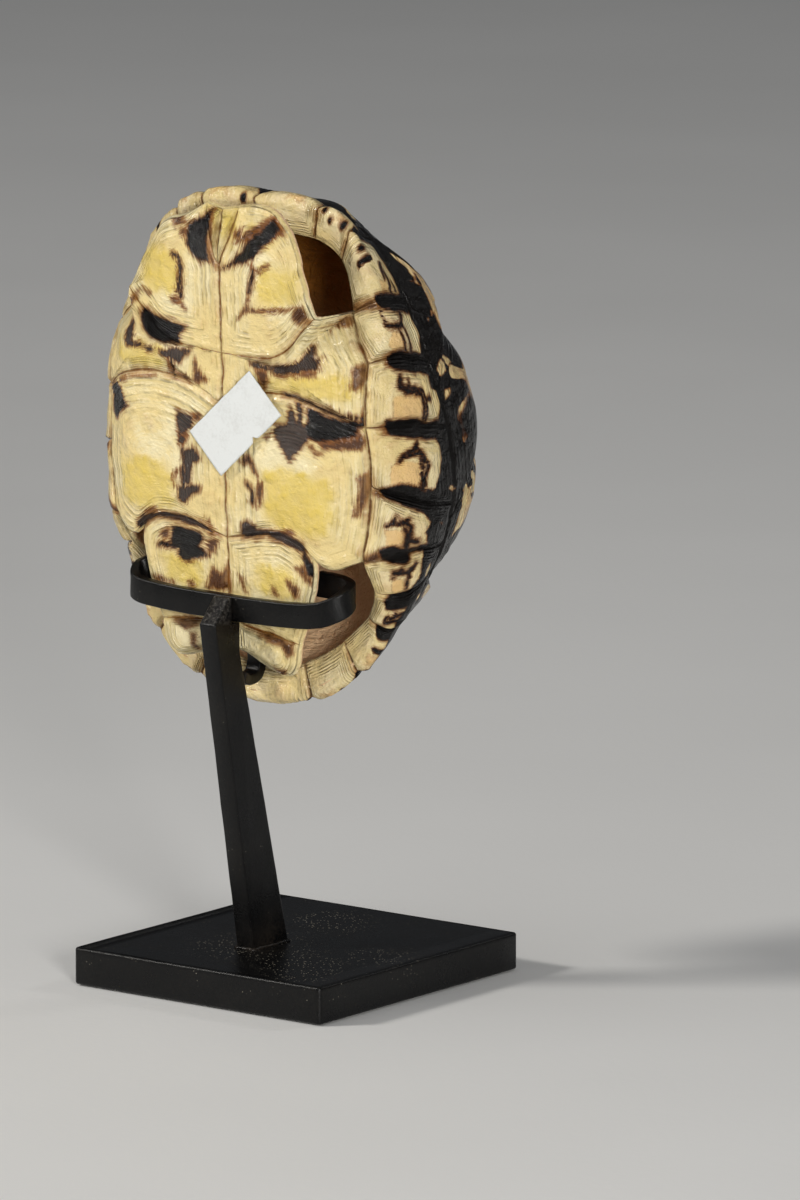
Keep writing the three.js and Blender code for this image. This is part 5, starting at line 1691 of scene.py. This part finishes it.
def post_side(mesh, sign):
    """The corners of one side of the post, which narrows up to its kink."""
    foot_z = POST_OUTLINE[0][1]
    corners = []
    for y, z in POST_OUTLINE:
        t = min((z - foot_z) / (POST_WIDTH["kink_z"] - foot_z), 1)
        wide = POST_WIDTH["foot"] + (POST_WIDTH["kink"] - POST_WIDTH["foot"]) * t
        x = POST_WIDTH["foot_x"] + (POST_WIDTH["kink_x"] - POST_WIDTH["foot_x"]) * t
        corners.append(mesh.verts.new((x + sign * wide / 2, y, z)))
    return corners


def make_post(material):
    mesh = bmesh.new()
    left, right = post_side(mesh, -1), post_side(mesh, 1)
    mesh.faces.new(left)
    mesh.faces.new(right[::-1])
    for corners in zip(left, right, right[1:] + right[:1], left[1:] + left[:1]):
        mesh.faces.new(corners)
    bmesh.ops.recalc_face_normals(mesh, faces=mesh.faces)
    bmesh.ops.triangulate(mesh, faces=[f for f in mesh.faces if len(f.verts) > 4])
    sharp = [e for e in mesh.edges if e.calc_face_angle(0) > 0.3]
    bmesh.ops.bevel(mesh, geom=sharp, offset=0.42, segments=3, profile=0.5, affect="EDGES")
    long_edges = [e for e in mesh.edges if e.calc_length() > 8]
    bmesh.ops.subdivide_edges(mesh, edges=long_edges, cuts=24, use_grid_fill=True)
    points, faces = drain(mesh)
    points = points + 0.06 * waver(points, 5, 9, 30)
    scuff = smooth(*SCUFF["z"], points[:, 2]) * smooth(*SCUFF["y"], points[:, 1])
    fields = {"weld": weld_field(points, WELDS), "scuff": scuff}
    return piece("post_body", points, faces, material, "post", fields)


def make_bar(name, line, up_axis, bar, seed, material, node):
    points, faces = bar_mesh(line, up_axis, bar["wide"], bar["thick"], bar["corner"], seed)
    fields = {"weld": weld_field(points, WELDS)}
    return piece(name, points, faces, material, node, fields)


def bead(name, ring, radius, seed, material):
    """A lumpy weld bead round a closed ring of points."""
    ring = np.asarray(ring, float)
    count, sides = len(ring), 9
    ahead = unit(np.roll(ring, -1, axis=0) - np.roll(ring, 1, axis=0))
    outward = ring - ring.mean(axis=0)
    outward = unit(outward - ahead * (outward * ahead).sum(axis=1, keepdims=True))
    across = np.cross(ahead, outward)
    size = radius * (1 + 0.14 * np.sin(np.arange(count) * 2 * math.pi / 5))[:, None]
    points = []
    for angle in np.arange(sides) * 2 * math.pi / sides:
        points.append(ring + size * (outward * math.cos(angle) + across * math.sin(angle)))
    points = np.concatenate(points)
    rows = np.arange(len(points)).reshape(sides, count)
    faces = []
    for low, high in zip(rows, np.roll(rows, -1, axis=0)):
        faces += zip(low, np.roll(low, -1), np.roll(high, -1), high)
    points = points + 0.16 * waver(points, 1.1, 7, seed)
    fields = {"weld": np.ones(len(points))}
    return piece(name, points, faces, material, None, fields)


def rectangle_ring(centre, half_x, half_y, per_side=14):
    corners = [(-half_x, -half_y), (half_x, -half_y), (half_x, half_y), (-half_x, half_y)]
    ring = []
    for (x0, y0), (x1, y1) in zip(corners, corners[1:] + corners[:1]):
        for t in np.arange(per_side) / per_side:
            ring.append((centre[0] + x0 + (x1 - x0) * t, centre[1] + y0 + (y1 - y0) * t, centre[2]))
    return ring


def make_label(material):
    """The bare paper tag: a thin, slightly bent sheet with torn-soft edges and a nick."""
    columns, rows = 56, 30
    long_at = np.linspace(-0.5, 0.5, columns + 1)
    short_at = np.linspace(-0.5, 0.5, rows + 1)
    grid_long, grid_short = np.meshgrid(long_at, short_at)
    a, b = grid_long.ravel() * LABEL["long"], grid_short.ravel() * LABEL["short"]
    edge = np.maximum(np.abs(grid_long.ravel()), np.abs(grid_short.ravel())) > 0.499
    flat = np.stack([a, b, np.zeros_like(a)], -1)
    a = a + edge * 0.09 * value_noise(flat / 1.3, 50)
    b = b + edge * 0.09 * value_noise(flat / 1.3 + 40, 51)
    low = np.exp(-((a - NICK["at"]) ** 2) / NICK["half"] ** 2)
    b = b + NICK["deep"] * low * np.clip(1 - (b + LABEL["short"] / 2) / 3, 0, 1)
    turn = LABEL["turn"]
    x = LABEL["x"] + a * math.cos(turn) - b * math.sin(turn)
    v = LABEL["v"] + a * math.sin(turn) + b * math.cos(turn)
    curl = 0.05 * value_noise(flat / 8, 52) + 0.12 * (a / LABEL["long"]) ** 2
    front = np.stack([x, v, -LABEL["off"] - LABEL_THICK + curl], -1)
    back = np.stack([x, v, -LABEL["off"] + curl], -1)
    wide = columns + 1
    sheet = []
    for j in range(rows):
        for i in range(columns):
            sheet.append((j * wide + i, j * wide + i + 1, (j + 1) * wide + i + 1, (j + 1) * wide + i))
    count = len(front)
    border = list(range(columns))
    border += [j * wide + columns for j in range(rows)]
    border += [rows * wide + i for i in range(columns, 0, -1)]
    border += [j * wide for j in range(rows, 0, -1)]
    faces = sheet + [tuple(i + count for i in face[::-1]) for face in sheet]
    for here, there in zip(border, border[1:] + border[:1]):
        faces.append((here + count, there + count, there, here))
    return piece("label_body", place(np.vstack([front, back])), faces, material, "paper_label")


# ---- stage -------------------------------------------------------------------------------------------------
def make_floor(material):
    mesh = bmesh.new()
    bmesh.ops.create_circle(mesh, cap_ends=True, radius=FLOOR_RADIUS, segments=96)
    data = bpy.data.meshes.new("studio_floor")
    mesh.to_mesh(data)
    mesh.free()
    data.materials.append(material)
    floor = bpy.data.objects.new("studio_floor", data)
    floor.location.z = -0.0004
    bpy.context.scene.collection.objects.link(floor)


def aim(thing, target):
    direction = Vector(target) - thing.location
    thing.rotation_euler = direction.to_track_quat("-Z", "Y").to_euler()


def add_light(name, place_m, size, watts, colour):
    data = bpy.data.lights.new(name, "AREA")
    data.shape = "RECTANGLE"
    data.size, data.size_y = size
    data.energy = watts
    data.color = colour
    light = bpy.data.objects.new(name, data)
    light.location = place_m
    bpy.context.scene.collection.objects.link(light)
    aim(light, LOOK_AT)


def add_world():
    world = bpy.data.worlds.new("studio")
    world.use_nodes = True
    background = world.node_tree.nodes["Background"]
    background.inputs["Color"].default_value = SKY
    background.inputs["Strength"].default_value = WORLD_STRENGTH
    bpy.context.scene.world = world
    bpy.context.scene.view_settings.view_transform = "Standard"


def add_camera():
    data = bpy.data.cameras.new("photo_camera")
    data.sensor_width = 36
    data.lens = data.sensor_width * CAMERA["pixels_away"] / PHOTO["high"]
    data.clip_start, data.clip_end = 0.05, 60
    camera = bpy.data.objects.new("photo_camera", data)
    camera.location = camera_spot() * MM
    camera.rotation_euler = Matrix(camera_axes().tolist()).transposed().to_euler()
    bpy.context.scene.collection.objects.link(camera)
    bpy.context.scene.camera = camera


def main():
    shell = shell_material()
    steel = steel_material("steel_black", 1.0)
    bar_steel = steel_material("steel_black_bar", 0.45)
    paper = paper_material()
    make_shell(shell)
    make_plate(steel)
    make_post(bar_steel)
    make_bar("band_body", BAND_LINE, (0, 0, 1), BAND_BAR, 41, bar_steel, "cradle_band")
    make_bar("hook_body", HOOK_LINE, (1, 0, 0), HOOK_BAR, 45, bar_steel, "lower_hook")
    foot = rectangle_ring(WELD_RING["centre"], WELD_RING["half_x"], WELD_RING["half_y"])
    bead("weld_foot", foot, WELD_RING["radius"], 60, bar_steel)
    make_label(paper)
    make_floor(floor_material())
    add_world()
    for light in LIGHTS:
        add_light(*light)
    add_camera()


main()
